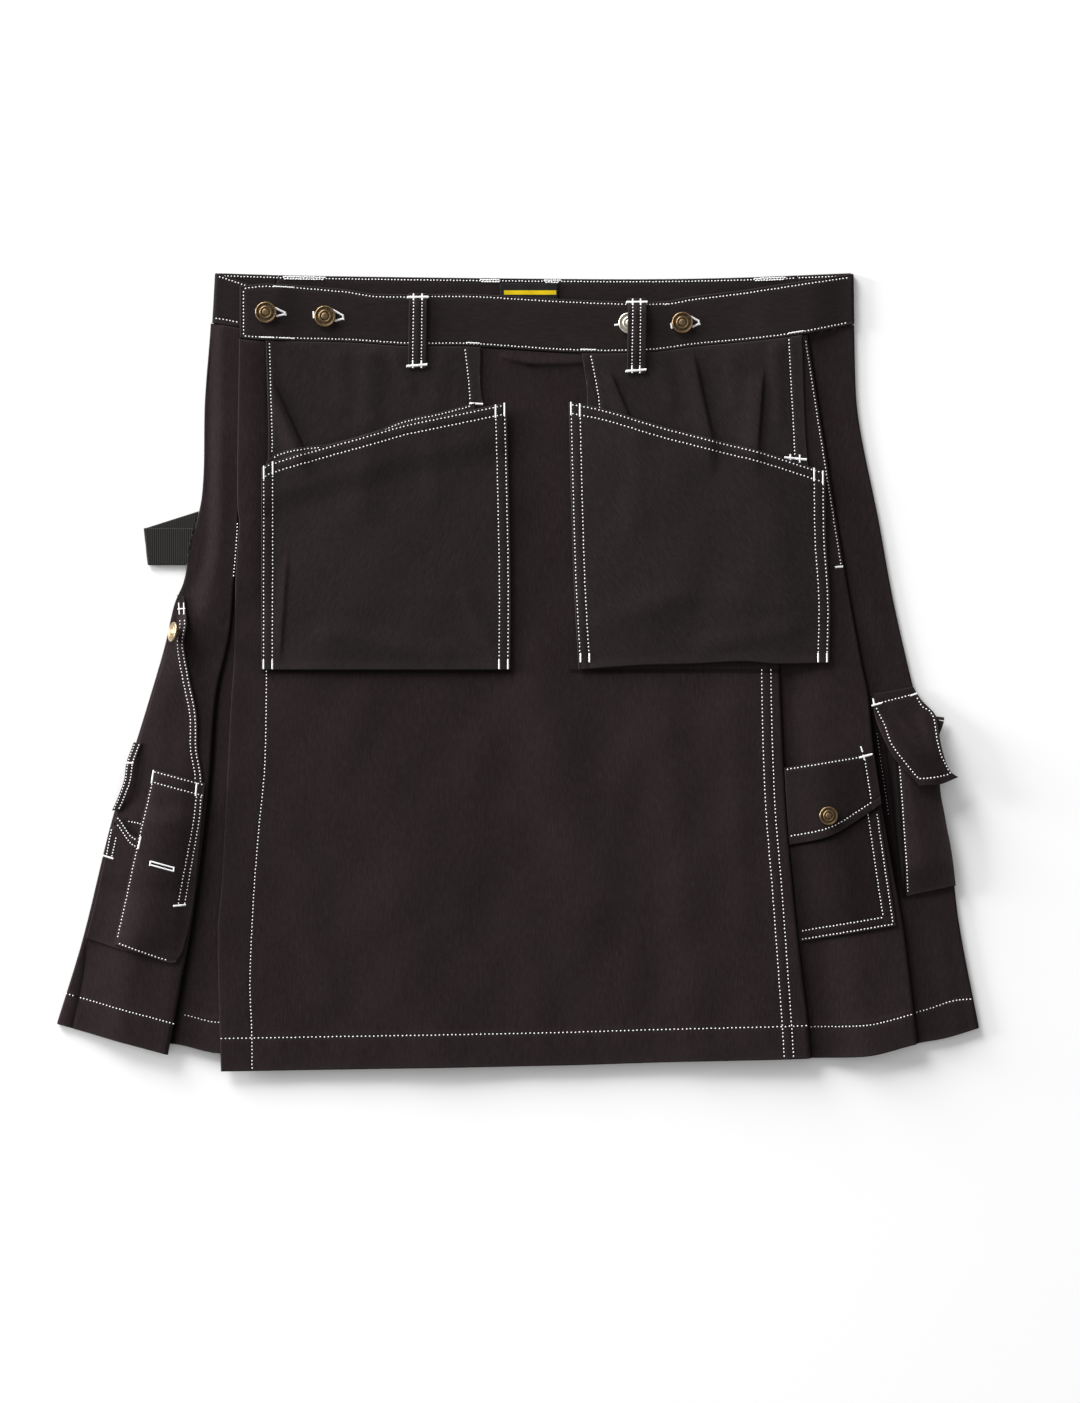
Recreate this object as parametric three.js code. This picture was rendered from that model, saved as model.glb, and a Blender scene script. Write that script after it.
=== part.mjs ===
// A utility kilt of heavy cotton, buttoned and laid flat on its back.
// Millimetres. X runs across the garment, +Y towards the waist and +Z up from the surface it lies on.
// The origin is in the middle of the laid garment, on that surface.
// The wrap is one long strip: an inner apron, the left pleat, the back, the right pleats and the front apron.
import * as THREE from 'three';

// Driving sizes
const HEM_HALF_WIDTH = 367;
const HALF_LENGTH = 317.6;
const CLOTH = 1.2;
const BAND = 1.8;
const GAP = 0.3;
const BAND_HEIGHT = 40;
const BUTTON_RADIUS = 8.5;
const FLAP_BUTTON_RADIUS = 7.4;
const WEBBING_WIDTH = 29.6;

// Layers of cloth lie this far apart at the hips, and looser at the hem.
const LAYER = CLOTH + GAP;
const HEM_LAYER = 2.7;
const HIP_HEIGHT = 90;

const cloth = { color: 0x2b2325, roughness: 0.95, metalness: 0 };
const canvas = { color: 0x2a2828, roughness: 0.9, metalness: 0 };
const webbing = { color: 0x20211e, roughness: 0.7, metalness: 0 };
const brass = { color: 0x6f5a3a, roughness: 0.4, metalness: 0.9 };
const woven = { color: 0x1d1c1c, roughness: 0.8, metalness: 0 };

const mix = (a, b, t) => a + (b - a) * t;

// 0 at one place and 1 at the other, with soft ends; the places may be given in either order.
function ease(from, to, at) {
  const t = THREE.MathUtils.clamp((at - from) / (to - from), 0, 1);
  return t * t * (3 - 2 * t);
}

// A smooth line through a few measured places, given as [along, across] pairs, and straight beyond its ends.
function line(...places) {
  const p = [...places].sort((a, b) => a[0] - b[0]);
  const last = p.length - 1;
  const slope = p.map((_, i) => {
    const a = p[Math.max(i - 1, 0)];
    const b = p[Math.min(i + 1, last)];
    return (b[1] - a[1]) / (b[0] - a[0]);
  });
  return (at) => {
    if (at <= p[0][0]) return p[0][1] + slope[0] * (at - p[0][0]);
    if (at >= p[last][0]) return p[last][1] + slope[last] * (at - p[last][0]);
    const i = p.findIndex((q) => q[0] >= at) - 1;
    const h = p[i + 1][0] - p[i][0];
    const t = (at - p[i][0]) / h;
    const keep = (1 + 2 * t) * (1 - t) ** 2;
    const turn = t * (1 - t) ** 2;
    const arrive = t * t * (t - 1);
    return keep * p[i][1] + turn * h * slope[i] + (1 - keep) * p[i + 1][1] + arrive * h * slope[i + 1];
  };
}

// Edges that run down the garment: [height, place across]
const outlineLeft = line(
  [HALF_LENGTH, -241], [275, -243.5], [216, -248.7], [141, -251.5], [101, -260.6], [72, -266], [54, -273.4],
  [21, -281], [-22, -293.5], [-55, -303.6], [-119, -323.4], [-213, -346.5], [-280, -HEM_HALF_WIDTH],
);
const outlineRight = line(
  [HALF_LENGTH, 267.2], [224, 269], [191, 272.8], [122, 286.9], [57, 298.8], [-14, 315], [-58, 326.5],
  [-96, 336.2], [-142, 344.4], [-199, 351], [-283, HEM_HALF_WIDTH],
);
const leftPleatEdge = line(
  [270, -220.5], [118, -222.2], [62, -226.5], [27, -230], [-18, -240], [-86, -245.5], [-126, -249.5],
  [-202, -259.4], [-253, -268.6], [-304, -277.7],
);
const apronLeftEdge = line(
  [262, -218.8], [119, -220.9], [70, -224], [6, -226], [-22, -228], [-102, -232], [-165, -235.2], [-207, -238.4],
  [-317, -236],
);
const apronPleatEdge = line(
  [262, 204.4], [3, 207.9], [-45, 209.8], [-113, 213.2], [-166, 217.9], [-220, 223.3], [-274, 229.9], [-307, 232.7],
);
const rightPleatEdge = line(
  [265, 230.7], [83, 259.5], [8, 273], [-18, 278.4], [-57, 282.3], [-99, 287.9], [-153, 297.2], [-207, 306.6],
  [-261, 313.3], [-296, 317.3],
);

// Edges that run across it: [place across, height]
const backTop = line([-241, HALF_LENGTH], [-173, 315.6], [63, 312.8], [161, 313.6], [267, HALF_LENGTH]);
const frontBandTop = line(
  [-221, 306.5], [-198, 308.5], [-140, 304.5], [-111, 300.5], [-38, 300.5], [41, 296.1], [114, 294.5], [138, 298.5],
  [183, 304.1], [267, HALF_LENGTH - 0.6],
);
const waist = line(
  [-244, 275], [-221, 265.5], [-192, 263.5], [-133, 262], [-90, 259.2], [-38, 258.8], [49, 253.6], [107, 254.4],
  [138, 258.4], [215, 266.3], [267, 276.5],
);
const innerBandTop = line([-241, HALF_LENGTH], [-210, 307.7], [-190, 304], [-110, 297.5], [0, 295], [150, 291.5]);
const innerBandFoot = line(
  [-244, 277.6], [-221, 273.5], [-190, 266.5], [-133, 264], [-90, 261.2], [-38, 260.8], [49, 256], [107, 256.8], [150, 262],
);
const leftHem = line([-367, -280], [-326, -291.3], [-278, -304.2]);
const innerHem = line([-320, -292], [-270, -296.5], [-238, -303.4], [0, -305], [170, -300]);
const apronHem = line([-238, -HALF_LENGTH], [-111, -315.5], [34, -312.8], [125, -310], [206, -308], [233, -307]);
const rightHem = line([170, -306.6], [233, -307], [270, -306.1], [286, -304], [317, -295.7], [340, -291.4], [367, -283.3]);
const backHem = line([-367, -280], [-278, -296], [0, -301], [286, -297], [367, -283.3]);

// How far a pleat doubles back under itself, and how wide its slope is: small at the waist, full below the hips
const openPleat = (y) => ease(110, -60, y);
const pleatDepth = (y) => mix(6, 30, openPleat(y));
const pleatSlope = (y) => mix(13, 42, openPleat(y));

// The next panel's inner fold lies this far beyond the end of the cloth that doubles back.
const FOLD_IN = 5.5;
const pleatFoot = (edge, y) => edge(y) - pleatDepth(y) - FOLD_IN - 1.5;

// The largest soft folds, which every layer above the inner apron shares
const SOFT_FOLDS = [
  { from: [-165, -10], to: [-70, -150], width: 30, rise: 2.0 },
  { from: [-95, -190], to: [-60, -312], width: 32, rise: 1.8 },
  { from: [20, -15], to: [58, -180], width: 26, rise: 2.2 },
  { from: [120, -50], to: [150, -300], width: 24, rise: 2.4 },
  { from: [-10, 130], to: [10, 20], width: 22, rise: 1.2 },
];

function softFolds(x, y) {
  return SOFT_FOLDS.reduce((sum, fold) => {
    const a = new THREE.Vector2(...fold.from);
    const along = new THREE.Vector2(...fold.to).sub(a);
    const to = new THREE.Vector2(x, y).sub(a);
    const t = THREE.MathUtils.clamp(to.dot(along) / along.lengthSq(), 0, 1);
    const away = to.addScaledVector(along, -t).length() / fold.width;
    return sum + fold.rise * Math.exp(-away * away);
  }, 0);
}

// Height of the middle of the wall, that many layers up
const pitch = (y) => mix(LAYER, HEM_LAYER, ease(HIP_HEIGHT, -280, y));
const layer = (count, y) => CLOTH / 2 + count * pitch(y);

// How many layers up each panel lies: a pleat climbs towards its folded edge, over what is tucked under it.
const leftPleatLayers = (x, y) => {
  const foot = pleatFoot(leftPleatEdge, y);
  return 1 + 2 * ease(foot - pleatSlope(y), foot, x);
};
const rightPleatLayers = (x, y) => {
  const foot = pleatFoot(rightPleatEdge, y);
  return 1 + 2 * ease(foot - pleatSlope(y), foot, x);
};
const apronLayers = (x, y) => {
  const foot = pleatFoot(apronPleatEdge, y);
  const overPleat = ease(foot - 45, foot, x);
  const besideLeftPleat = 1.6 * ease(-188, -214, x) * ease(40, 75, y);
  return 2 + overPleat + besideLeftPleat;
};
const waistRise = (x, y) => 0.6 * ease(waist(x) - 40, waist(x) - 8, y);
const apronHeight = (x, y) => layer(apronLayers(x, y), y) + softFolds(x, y) + waistRise(x, y);
const leftPleatHeight = (x, y) => layer(leftPleatLayers(x, y), y);
const rightPleatHeight = (x, y) => layer(rightPleatLayers(x, y), y);
const rightSideHeight = (x, y) => layer(1, y);

// Rows of points, and the closed wall around them

// A row runs across the piece in stretches: flat runs that follow a height, and half turns where the cloth folds.
class Row {
  constructor(top, foot, down) {
    this.points = [];
    this.yAt = (x) => mix(top(x), foot(x), down);
  }

  // Where an edge crosses this row
  meet(edge) {
    let x = edge(this.yAt(0));
    for (let i = 0; i < 12; i++) x = edge(this.yAt(x));
    return x;
  }

  run(from, to, steps, height) {
    for (let i = 0; i <= steps; i++) {
      const x = mix(from, to, i / steps);
      const y = this.yAt(x);
      this.points.push(new THREE.Vector3(x, y, height(x, y)));
    }
    return this;
  }

  // Half a turn about a centre, from one angle to another, in degrees
  turn(x, z, radius, from, to, steps = 4) {
    for (let i = 1; i < steps; i++) {
      const angle = THREE.MathUtils.degToRad(mix(from, to, i / steps));
      const px = x + radius * Math.cos(angle);
      this.points.push(new THREE.Vector3(px, this.yAt(px), z + radius * Math.sin(angle)));
    }
    return this;
  }
}

function rowsDown(count, make) {
  return Array.from({ length: count + 1 }, (_, j) => make(j / count));
}

// The closed wall of a piece: half its thickness to each side of the rows, square to each row
function wall(rows, thickness = CLOTH) {
  const across = rows[0].length;
  const down = rows.length;
  const position = [];
  for (const side of [1, -1]) {
    for (const row of rows) {
      row.forEach((p, i) => {
        const a = row[Math.max(i - 1, 0)];
        const b = row[Math.min(i + 1, across - 1)];
        const along = new THREE.Vector2(b.x - a.x, b.z - a.z).normalize();
        const reach = (side * thickness) / 2;
        position.push(p.x - along.y * reach, p.y, p.z + along.x * reach);
      });
    }
  }
  const face = (i, j) => j * across + i;
  const under = (i, j) => across * down + face(i, j);
  const index = [];
  for (let j = 0; j < down - 1; j++) {
    for (let i = 0; i < across - 1; i++) {
      index.push(face(i, j), face(i, j + 1), face(i + 1, j), face(i, j + 1), face(i + 1, j + 1), face(i + 1, j));
      index.push(under(i, j), under(i + 1, j), under(i, j + 1), under(i, j + 1), under(i + 1, j), under(i + 1, j + 1));
    }
    const r = across - 1;
    index.push(face(0, j), under(0, j), face(0, j + 1), face(0, j + 1), under(0, j), under(0, j + 1));
    index.push(face(r, j), face(r, j + 1), under(r, j), face(r, j + 1), under(r, j + 1), under(r, j));
  }
  for (let i = 0; i < across - 1; i++) {
    const d = down - 1;
    index.push(face(i, 0), face(i + 1, 0), under(i, 0), face(i + 1, 0), under(i + 1, 0), under(i, 0));
    index.push(face(i, d), under(i, d), face(i + 1, d), face(i + 1, d), under(i, d), under(i + 1, d));
  }
  const geometry = new THREE.BufferGeometry();
  geometry.setAttribute('position', new THREE.Float32BufferAttribute(position, 3));
  geometry.setIndex(index);
  return geometry;
}

// A piece with four plain edges, lying at a height
function patch({ left, right, top, foot, height, across, down, thickness = CLOTH }) {
  const rows = rowsDown(down, (t) => {
    const row = new Row(top, foot, t);
    return row.run(row.meet(left), row.meet(right), across, height).points;
  });
  return wall(rows, thickness);
}

const kilt = new THREE.Group();
kilt.name = 'utility_kilt';

function add(name, geometry, material) {
  const mesh = new THREE.Mesh(geometry, new THREE.MeshStandardMaterial(material));
  mesh.name = name;
  kilt.add(mesh);
  return mesh;
}

// Body panels

const backFace = () => CLOTH / 2;
const backSeamLeft = line([HALF_LENGTH, -190], [-280, -345]);
const backSeamRight = line([HALF_LENGTH, 222], [-283, 350]);

// The back, flat on the surface from side fold to side fold
function backPanel() {
  return patch({
    left: backSeamLeft,
    right: backSeamRight,
    top: (x) => backTop(x) - BAND_HEIGHT - GAP,
    foot: backHem,
    height: backFace,
    across: 6,
    down: 8,
  });
}

// Half a turn at the tucked-under inner fold of a pleat, opening towards +X, then a run to the right
function innerFold(row, x, y) {
  const radius = pitch(y) / 2;
  const centre = x + radius + CLOTH / 2;
  row.run(centre + 2, centre, 1, (_, at) => layer(2, at));
  row.turn(centre, layer(1.5, y), radius, 90, 270);
  return centre;
}

// A pleat's folded edge at x, facing +X, and the cloth that doubles back under it
function pleatFold(row, x, y, layers) {
  const radius = pitch(y) / 2;
  const centre = x - radius - CLOTH / 2;
  row.turn(centre, layer(layers - 0.5, y) + softFolds(centre, y), radius, 90, -90);
  const end = row.meet((at) => apronPleatEdge(at) - pleatDepth(at));
  row.run(centre, end, 3, (px, py) => layer(layers - 1, py) + softFolds(px, py));
}

// The inner apron, which the front apron wraps over
function underApron() {
  return wall(rowsDown(12, (t) => {
    const row = new Row((x) => innerBandFoot(x) - 0.8, innerHem, t);
    const edge = row.meet((y) => leftPleatEdge(y) - pleatDepth(y) - FOLD_IN);
    const start = innerFold(row, edge, row.yAt(edge));
    return row.run(start, 168, 9, (x, y) => layer(1, y) + 0.4 * softFolds(x, y)).points;
  }));
}

// The left pleat: from the back round the side fold, and up to its own folded edge
function leftPleatPanel() {
  return wall(rowsDown(12, (t) => {
    const row = new Row((x) => innerBandFoot(x) - 0.6, leftHem, t);
    const side = row.meet(outlineLeft);
    const y = row.yAt(side);
    const radius = pitch(y) / 2;
    const centre = side + radius + CLOTH / 2;
    row.run(row.meet((at) => backSeamLeft(at) - GAP), centre, 3, backFace);
    row.turn(centre, layer(0.5, y), radius, 270, 90);
    const edge = row.meet(leftPleatEdge);
    const foldY = row.yAt(edge);
    row.run(centre, edge - pitch(foldY) / 2 - CLOTH / 2, 9, leftPleatHeight);
    row.turn(edge - pitch(foldY) / 2 - CLOTH / 2, layer(2.5, foldY), pitch(foldY) / 2, 90, -90);
    const end = row.meet((at) => leftPleatEdge(at) - pleatDepth(at));
    row.run(edge - pitch(foldY) / 2 - CLOTH / 2, end, 2, (_, at) => layer(2, at));
    return row.points;
  }));
}

// The front apron, from its free left edge to its pleat on the right
function frontApron() {
  return wall(rowsDown(14, (t) => {
    const row = new Row((x) => waist(x) - 2 * GAP, apronHem, t);
    const edge = row.meet(apronPleatEdge);
    const y = row.yAt(edge);
    row.run(row.meet(apronLeftEdge), edge - pitch(y) / 2 - CLOTH / 2, 18, apronHeight);
    pleatFold(row, edge, y, apronLayers(edge, y));
    return row.points;
  }));
}

// The right pleat, tucked under the front apron and folded over the right side
function rightPleatPanel() {
  return wall(rowsDown(12, (t) => {
    const row = new Row((x) => waist(x) - GAP, rightHem, t);
    const tucked = row.meet((y) => apronPleatEdge(y) - pleatDepth(y) - FOLD_IN);
    const start = innerFold(row, tucked, row.yAt(tucked));
    const edge = row.meet(rightPleatEdge);
    const y = row.yAt(edge);
    row.run(start, edge - pitch(y) / 2 - CLOTH / 2, 9, rightPleatHeight);
    row.turn(edge - pitch(y) / 2 - CLOTH / 2, layer(2.5, y), pitch(y) / 2, 90, -90);
    const end = row.meet((at) => rightPleatEdge(at) - pleatDepth(at));
    row.run(edge - pitch(y) / 2 - CLOTH / 2, end, 2, (_, at) => layer(2, at));
    return row.points;
  }));
}

// The right side, tucked under the right pleat and folded round to the back
function rightSidePanel() {
  return wall(rowsDown(12, (t) => {
    const row = new Row((x) => waist(x) - GAP, rightHem, t);
    const tucked = row.meet((y) => rightPleatEdge(y) - pleatDepth(y) - FOLD_IN);
    const start = innerFold(row, tucked, row.yAt(tucked));
    const side = row.meet(outlineRight);
    const y = row.yAt(side);
    const radius = pitch(y) / 2;
    const centre = side - radius - CLOTH / 2;
    row.run(start, centre, 6, rightSideHeight);
    row.turn(centre, layer(0.5, y), radius, 90, -90);
    row.run(centre, row.meet((at) => backSeamRight(at) + GAP), 1, backFace);
    return row.points;
  }));
}

// Waistband: one long strip, cut here at the side folds

const bandBase = BAND / 2;
const innerBandHeight = (x) => mix(3.0, 4.8, ease(-198, -222, x));
const frontBandHeight = (x) => {
  const overLeftPleat = 1.7 * ease(-172, -192, x);
  const overRightPleats = 1.3 * ease(170, 200, x);
  const toSideFold = 2.8 * ease(232, 262, x);
  return 5.1 + overLeftPleat + overRightPleats - toSideFold;
};

function backWaistband() {
  return patch({
    left: backSeamLeft,
    right: backSeamRight,
    top: backTop,
    foot: (x) => backTop(x) - BAND_HEIGHT,
    height: () => bandBase,
    across: 12,
    down: 2,
    thickness: BAND,
  });
}

// The inner end of the band, round the left side fold and on beneath the front band
function innerWaistband() {
  return wall(rowsDown(2, (t) => {
    const behind = new Row(backTop, innerBandFoot, t);
    const row = new Row(innerBandTop, innerBandFoot, t);
    const side = row.meet(outlineLeft);
    const radius = (innerBandHeight(side) - bandBase) / 2;
    const centre = side + radius + BAND / 2;
    behind.run(behind.meet((y) => backSeamLeft(y) - GAP), centre, 3, () => bandBase);
    row.turn(centre, bandBase + radius, radius, 270, 90).run(centre, 148, 16, innerBandHeight);
    return [...behind.points, ...row.points];
  }), BAND);
}

// The front band, from its buttoned tab to the right side fold and round it
function frontWaistband() {
  return wall(rowsDown(2, (t) => {
    const behind = new Row(backTop, waist, t);
    const row = new Row(frontBandTop, waist, t);
    const side = row.meet(outlineRight);
    const radius = (frontBandHeight(side - BAND) - bandBase) / 2;
    const centre = side - radius - BAND / 2;
    row.run(-221, centre, 26, frontBandHeight);
    row.turn(centre, bandBase + radius, radius, 90, -90);
    behind.run(centre, behind.meet((y) => backSeamRight(y) + GAP), 3, () => bandBase);
    return [...row.points, ...behind.points];
  }), BAND);
}

// A belt loop: a strip sewn down at both ends, with a little slack between
function beltLoop({ centre, width, top, foot, slack }) {
  const lean = 0.6;
  return patch({
    left: (y) => centre - width / 2 - lean * ease(top, foot, y),
    right: (y) => centre + width / 2 - lean * ease(top, foot, y),
    top: () => top,
    foot: () => foot,
    height: (x, y) => {
      const free = ease(top - 2, top - 11, y) * ease(foot, foot + 24, y);
      const overBacking = 0.5 * ease(foot + 24, foot + 14, y);
      return frontBandHeight(x) + BAND / 2 + GAP + CLOTH / 2 + slack * free + overBacking;
    },
    across: 2,
    down: 10,
  });
}

// A piece that lies on a curved panel is raised by its thickness and a slightly wider gap.
const ON_PANEL = CLOTH + 1.5 * GAP;

// Nail pockets: a backing sewn into the waistband seam, and a pouch on its lower part

const POUCH_FOOT = 1.6;

// The left backing and pouch
const leftPouchTop = line(
  [-203.4, 162], [-197, 166], [-158, 177.7], [-112, 190.4], [-90, 196.8], [-62, 202.7], [-8.6, 213.9],
);
const leftPouchLeft = line([162, -203.4], [3, -203.9]);
const leftPouchRight = line([214, -8.6], [80, -5.6], [2, -5.8]);
const leftBackingHeight = (x, y) => apronHeight(x, y) + ON_PANEL;
const leftInnerTop = line(
  [-199, 167.5], [-190, 174], [-170, 178.5], [-150, 181], [-112, 191.5], [-90, 200.2], [-63, 206], [-36, 213.2],
);

// The right backing and pouch, which reach over the apron's pleat to the right pleat
const rightPouchTop = line([40.3, 214.7], [68, 209.1], [113, 195.6], [161, 183.2], [194, 174.9], [244, 159]);
const rightPouchFoot = line([48, POUCH_FOOT], [98, 5.2], [138, 6.4], [179, 8.3], [206, 6.4], [248, 7.2]);
const rightPouchLeft = line([214.7, 40.3], [80, 44], [1.6, 48.2]);
const rightPouchRight = line([159, 244.2], [105, 245], [57, 248], [7, 247.4]);
const rightBackingHeight = (x, y) => {
  const onApron = apronHeight(x, y) + ON_PANEL;
  const offApron = layer(3, y) + ON_PANEL + softFolds(x, y) + waistRise(x, y);
  return x < apronPleatEdge(y) - 20 ? onApron : offApron;
};

// A pouch stands away from its backing in the middle and at its mouth, and is sewn down at its sides.
function pouchBulge(left, right, foot, top, depth) {
  return (x, y) => {
    const across = THREE.MathUtils.clamp((x - left(y)) / (right(y) - left(y)), 0, 1);
    const up = THREE.MathUtils.clamp((y - foot(x)) / (top(x) - foot(x)), 0, 1);
    return depth * Math.sin(Math.PI * across) ** 0.8 * Math.min(1, 3 * up + 0.15);
  };
}

const leftBulge = pouchBulge(leftPouchLeft, leftPouchRight, () => POUCH_FOOT, leftPouchTop, 2.2);
const rightBulge = pouchBulge(rightPouchLeft, rightPouchRight, rightPouchFoot, rightPouchTop, 3.2);

function leftPocketBacking() {
  return patch({
    left: line([262, -200.2], [172, -198.2], [140, -202], [3, -202.6]),
    right: line([257, -29.3], [214, -27.3], [200, -12], [180, -8.5], [2, -7]),
    top: (x) => waist(x) - GAP,
    foot: () => POUCH_FOOT + 1,
    height: leftBackingHeight,
    across: 9,
    down: 12,
  });
}

// The inner lip of the left pouch, which shows just above its mouth
function leftPocketLip() {
  return patch({
    left: () => -199.5,
    right: () => -34,
    top: leftInnerTop,
    foot: (x) => leftPouchTop(x) - 22,
    height: (x, y) => leftBackingHeight(x, y) + ON_PANEL + 0.4 * leftBulge(x, y),
    across: 12,
    down: 2,
  });
}

function leftPouch() {
  return patch({
    left: leftPouchLeft,
    right: leftPouchRight,
    top: leftPouchTop,
    foot: () => POUCH_FOOT,
    height: (x, y) => {
      const overLip = ON_PANEL * ease(leftPouchTop(x) - 44, leftPouchTop(x) - 24, y);
      return leftBackingHeight(x, y) + ON_PANEL + overLip + leftBulge(x, y);
    },
    across: 12,
    down: 10,
  });
}

// Two tucks take in the right backing's fullness under the band.
const TUCKS = [
  { from: [138, 254], to: [153, 186], width: 9, rise: 1.6 },
  { from: [192, 238], to: [186, 176], width: 10, rise: 1.8 },
];

function tucks(x, y) {
  return TUCKS.reduce((sum, tuck) => {
    const t = THREE.MathUtils.clamp((tuck.from[1] - y) / (tuck.from[1] - tuck.to[1]), 0, 1);
    const away = (x - mix(tuck.from[0], tuck.to[0], t)) / tuck.width;
    return sum + tuck.rise * t * Math.exp(-away * away);
  }, 0);
}

function rightPocketBacking() {
  return patch({
    left: line([254, 50.8], [214, 55], [190, 47], [2, 49.5]),
    right: line([265, 225.7], [165, 230.7], [140, 240], [7, 246]),
    top: (x) => waist(x) - GAP,
    foot: (x) => rightPouchFoot(x) + 1,
    height: (x, y) => rightBackingHeight(x, y) + tucks(x, y) * ease(150, 180, y),
    across: 12,
    down: 12,
  });
}

function rightPouch() {
  return patch({
    left: rightPouchLeft,
    right: rightPouchRight,
    top: rightPouchTop,
    foot: rightPouchFoot,
    height: (x, y) => rightBackingHeight(x, y) + tucks(x, y) * ease(150, 180, y) + ON_PANEL + rightBulge(x, y),
    across: 14,
    down: 10,
  });
}

// Cargo pocket on the right pleat, with a buttoned flap

const POCKET_SIDE_GAP = 0.6;
const cargoLeft = (y) => apronPleatEdge(y) + POCKET_SIDE_GAP;
const cargoRight = line([-73, 281.5], [-100, 285.5], [-202, 300.4]);
const cargoBulge = (x, y) => 1.6 * Math.sin(Math.PI * ease(cargoLeft(y) - 20, cargoRight(y), x)) * ease(-208, -180, y);
const cargoHeight = (x, y) => rightPleatHeight(x, y) + ON_PANEL + cargoBulge(x, y);

function cargoPocket() {
  return patch({
    left: cargoLeft,
    right: cargoRight,
    top: line([212, -84], [284, -73]),
    foot: line([222, -215], [300, -201.6]),
    height: cargoHeight,
    across: 7,
    down: 8,
  });
}

function cargoFlap() {
  return patch({
    left: cargoLeft,
    right: line([-62, 282.3], [-104, 288.7]),
    top: line([212, -76.2], [282, -64.6]),
    foot: line([216, -137.5], [239, -133], [253, -127.8], [274, -114.9], [289, -104.5]),
    height: (x, y) => cargoHeight(x, y) + ON_PANEL,
    across: 7,
    down: 5,
  });
}

// Bellows pocket on the right side: its left wall stands up from the panel, its face runs to the side fold.

const sidePocketRest = (x, y) => rightSideHeight(x, y) + ON_PANEL;
const sidePocketRise = (y) => 6.5 * ease(-182, -150, y) * ease(-24, -70, y);
const sidePocketSeat = line([-30, 289], [-51, 291], [-115, 298.5], [-178, 305.5]);
const sidePocketFace = line([-30, 295.5], [-74, 300.6], [-176, 307.8]);
const sidePocketRight = line([-32, 339], [-40, 338.6], [-54, 334.2], [-96, 335.9], [-142, 344.4], [-169, 348]);

function sidePocket() {
  return wall(rowsDown(9, (t) => {
    const row = new Row(line([289, -31], [339, -36]), line([305, -179], [348, -169.8]), t);
    const seat = row.meet(sidePocketSeat);
    const face = row.meet(sidePocketFace);
    const right = row.meet(sidePocketRight);
    row.run(seat, seat + 1, 1, sidePocketRest);
    row.run(face - 0.6, face + 1.2, 1, (x, y) => sidePocketRest(x, y) + sidePocketRise(y));
    const settle = (x) => 1 - 0.6 * ease(face + 8, right, x);
    row.run(face + 8, right, 4, (x, y) => sidePocketRest(x, y) + sidePocketRise(y) * settle(x));
    return row.points;
  }));
}

// The side pocket's flap has come loose and curls clear of the garment's outline.
function sideFlap() {
  const top = line([282, -17.5], [314, -12]);
  const foot = line([283, -96], [318.8, -90.3], [334.7, -89], [349.8, -83.2]);
  const left = line([-17, 282.6], [-34, 283.5], [-50, 288.6], [-70, 299.4], [-84, 312.7], [-91, 318.8]);
  const right = line([-12, 314.6], [-23, 321.4], [-33, 331], [-44, 334], [-54, 334.9], [-68, 338.3], [-79, 343.2], [-84, 349.8]);
  const curl = (x, y) => {
    const overPocket = ON_PANEL * ease(-14, -28, y);
    const wave = (1.8 + 1.6 * Math.sin((x + y) / 9)) * ease(-20, -60, y);
    return sidePocketRest(x, y) + sidePocketRise(y) + overPocket + wave;
  };
  return patch({ left, right, top, foot, height: curl, across: 7, down: 9 });
}

// Left side: a facing whose free edge gapes, a tool pocket and a ruler pocket

const facingEdge = line([57, -264.8], [37, -262.6], [21, -264.6], [-6, -260.2], [-34, -254.7], [-62, -254], [-84, -250.4], [-150, -251]);
const facingCurl = (x, y) => {
  const nearEdge = ease(facingEdge(y) - 9, facingEdge(y), x);
  const atButton = Math.exp(-(((y - 31) / 13) ** 2));
  const ripple = 0.8 + 0.8 * Math.cos((y + 20) / 17);
  return nearEdge * (ripple + 8.5 * atButton) * ease(-128, -84, y);
};
const facingHeight = (x, y) => leftPleatHeight(x, y) + ON_PANEL;
// The pockets lie on the facing above its hidden lower edge, and on the panel below it.
const overFacing = (y) => ON_PANEL * ease(-176, -158, y);

function sideFacing() {
  return patch({
    left: (y) => outlineLeft(y) + 2.4,
    right: (y) => Math.min(facingEdge(y), leftPleatEdge(y) - 1.5),
    top: line([-275, 62], [-264, 60]),
    foot: line([-335, -143], [-250, -156]),
    height: (x, y) => facingHeight(x, y) + facingCurl(x, y),
    across: 9,
    down: 14,
  });
}

const toolPocketTop = line([-324, -116.4], [-318, -114], [-311, -122.6], [-304.5, -129.6], [-299, -132], [-285, -134]);
const toolPocketRight = line([-130, -285.5], [-224, -300]);

function toolPocket() {
  return patch({
    left: (y) => outlineLeft(y) + 2.8,
    right: toolPocketRight,
    top: toolPocketTop,
    foot: line([-336, -214], [-316, -220.2], [-296, -225]),
    height: (x, y) => leftPleatHeight(x, y) + overFacing(y) + ON_PANEL + 1.4 * ease(-165, -130, y),
    across: 5,
    down: 6,
  });
}

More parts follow.
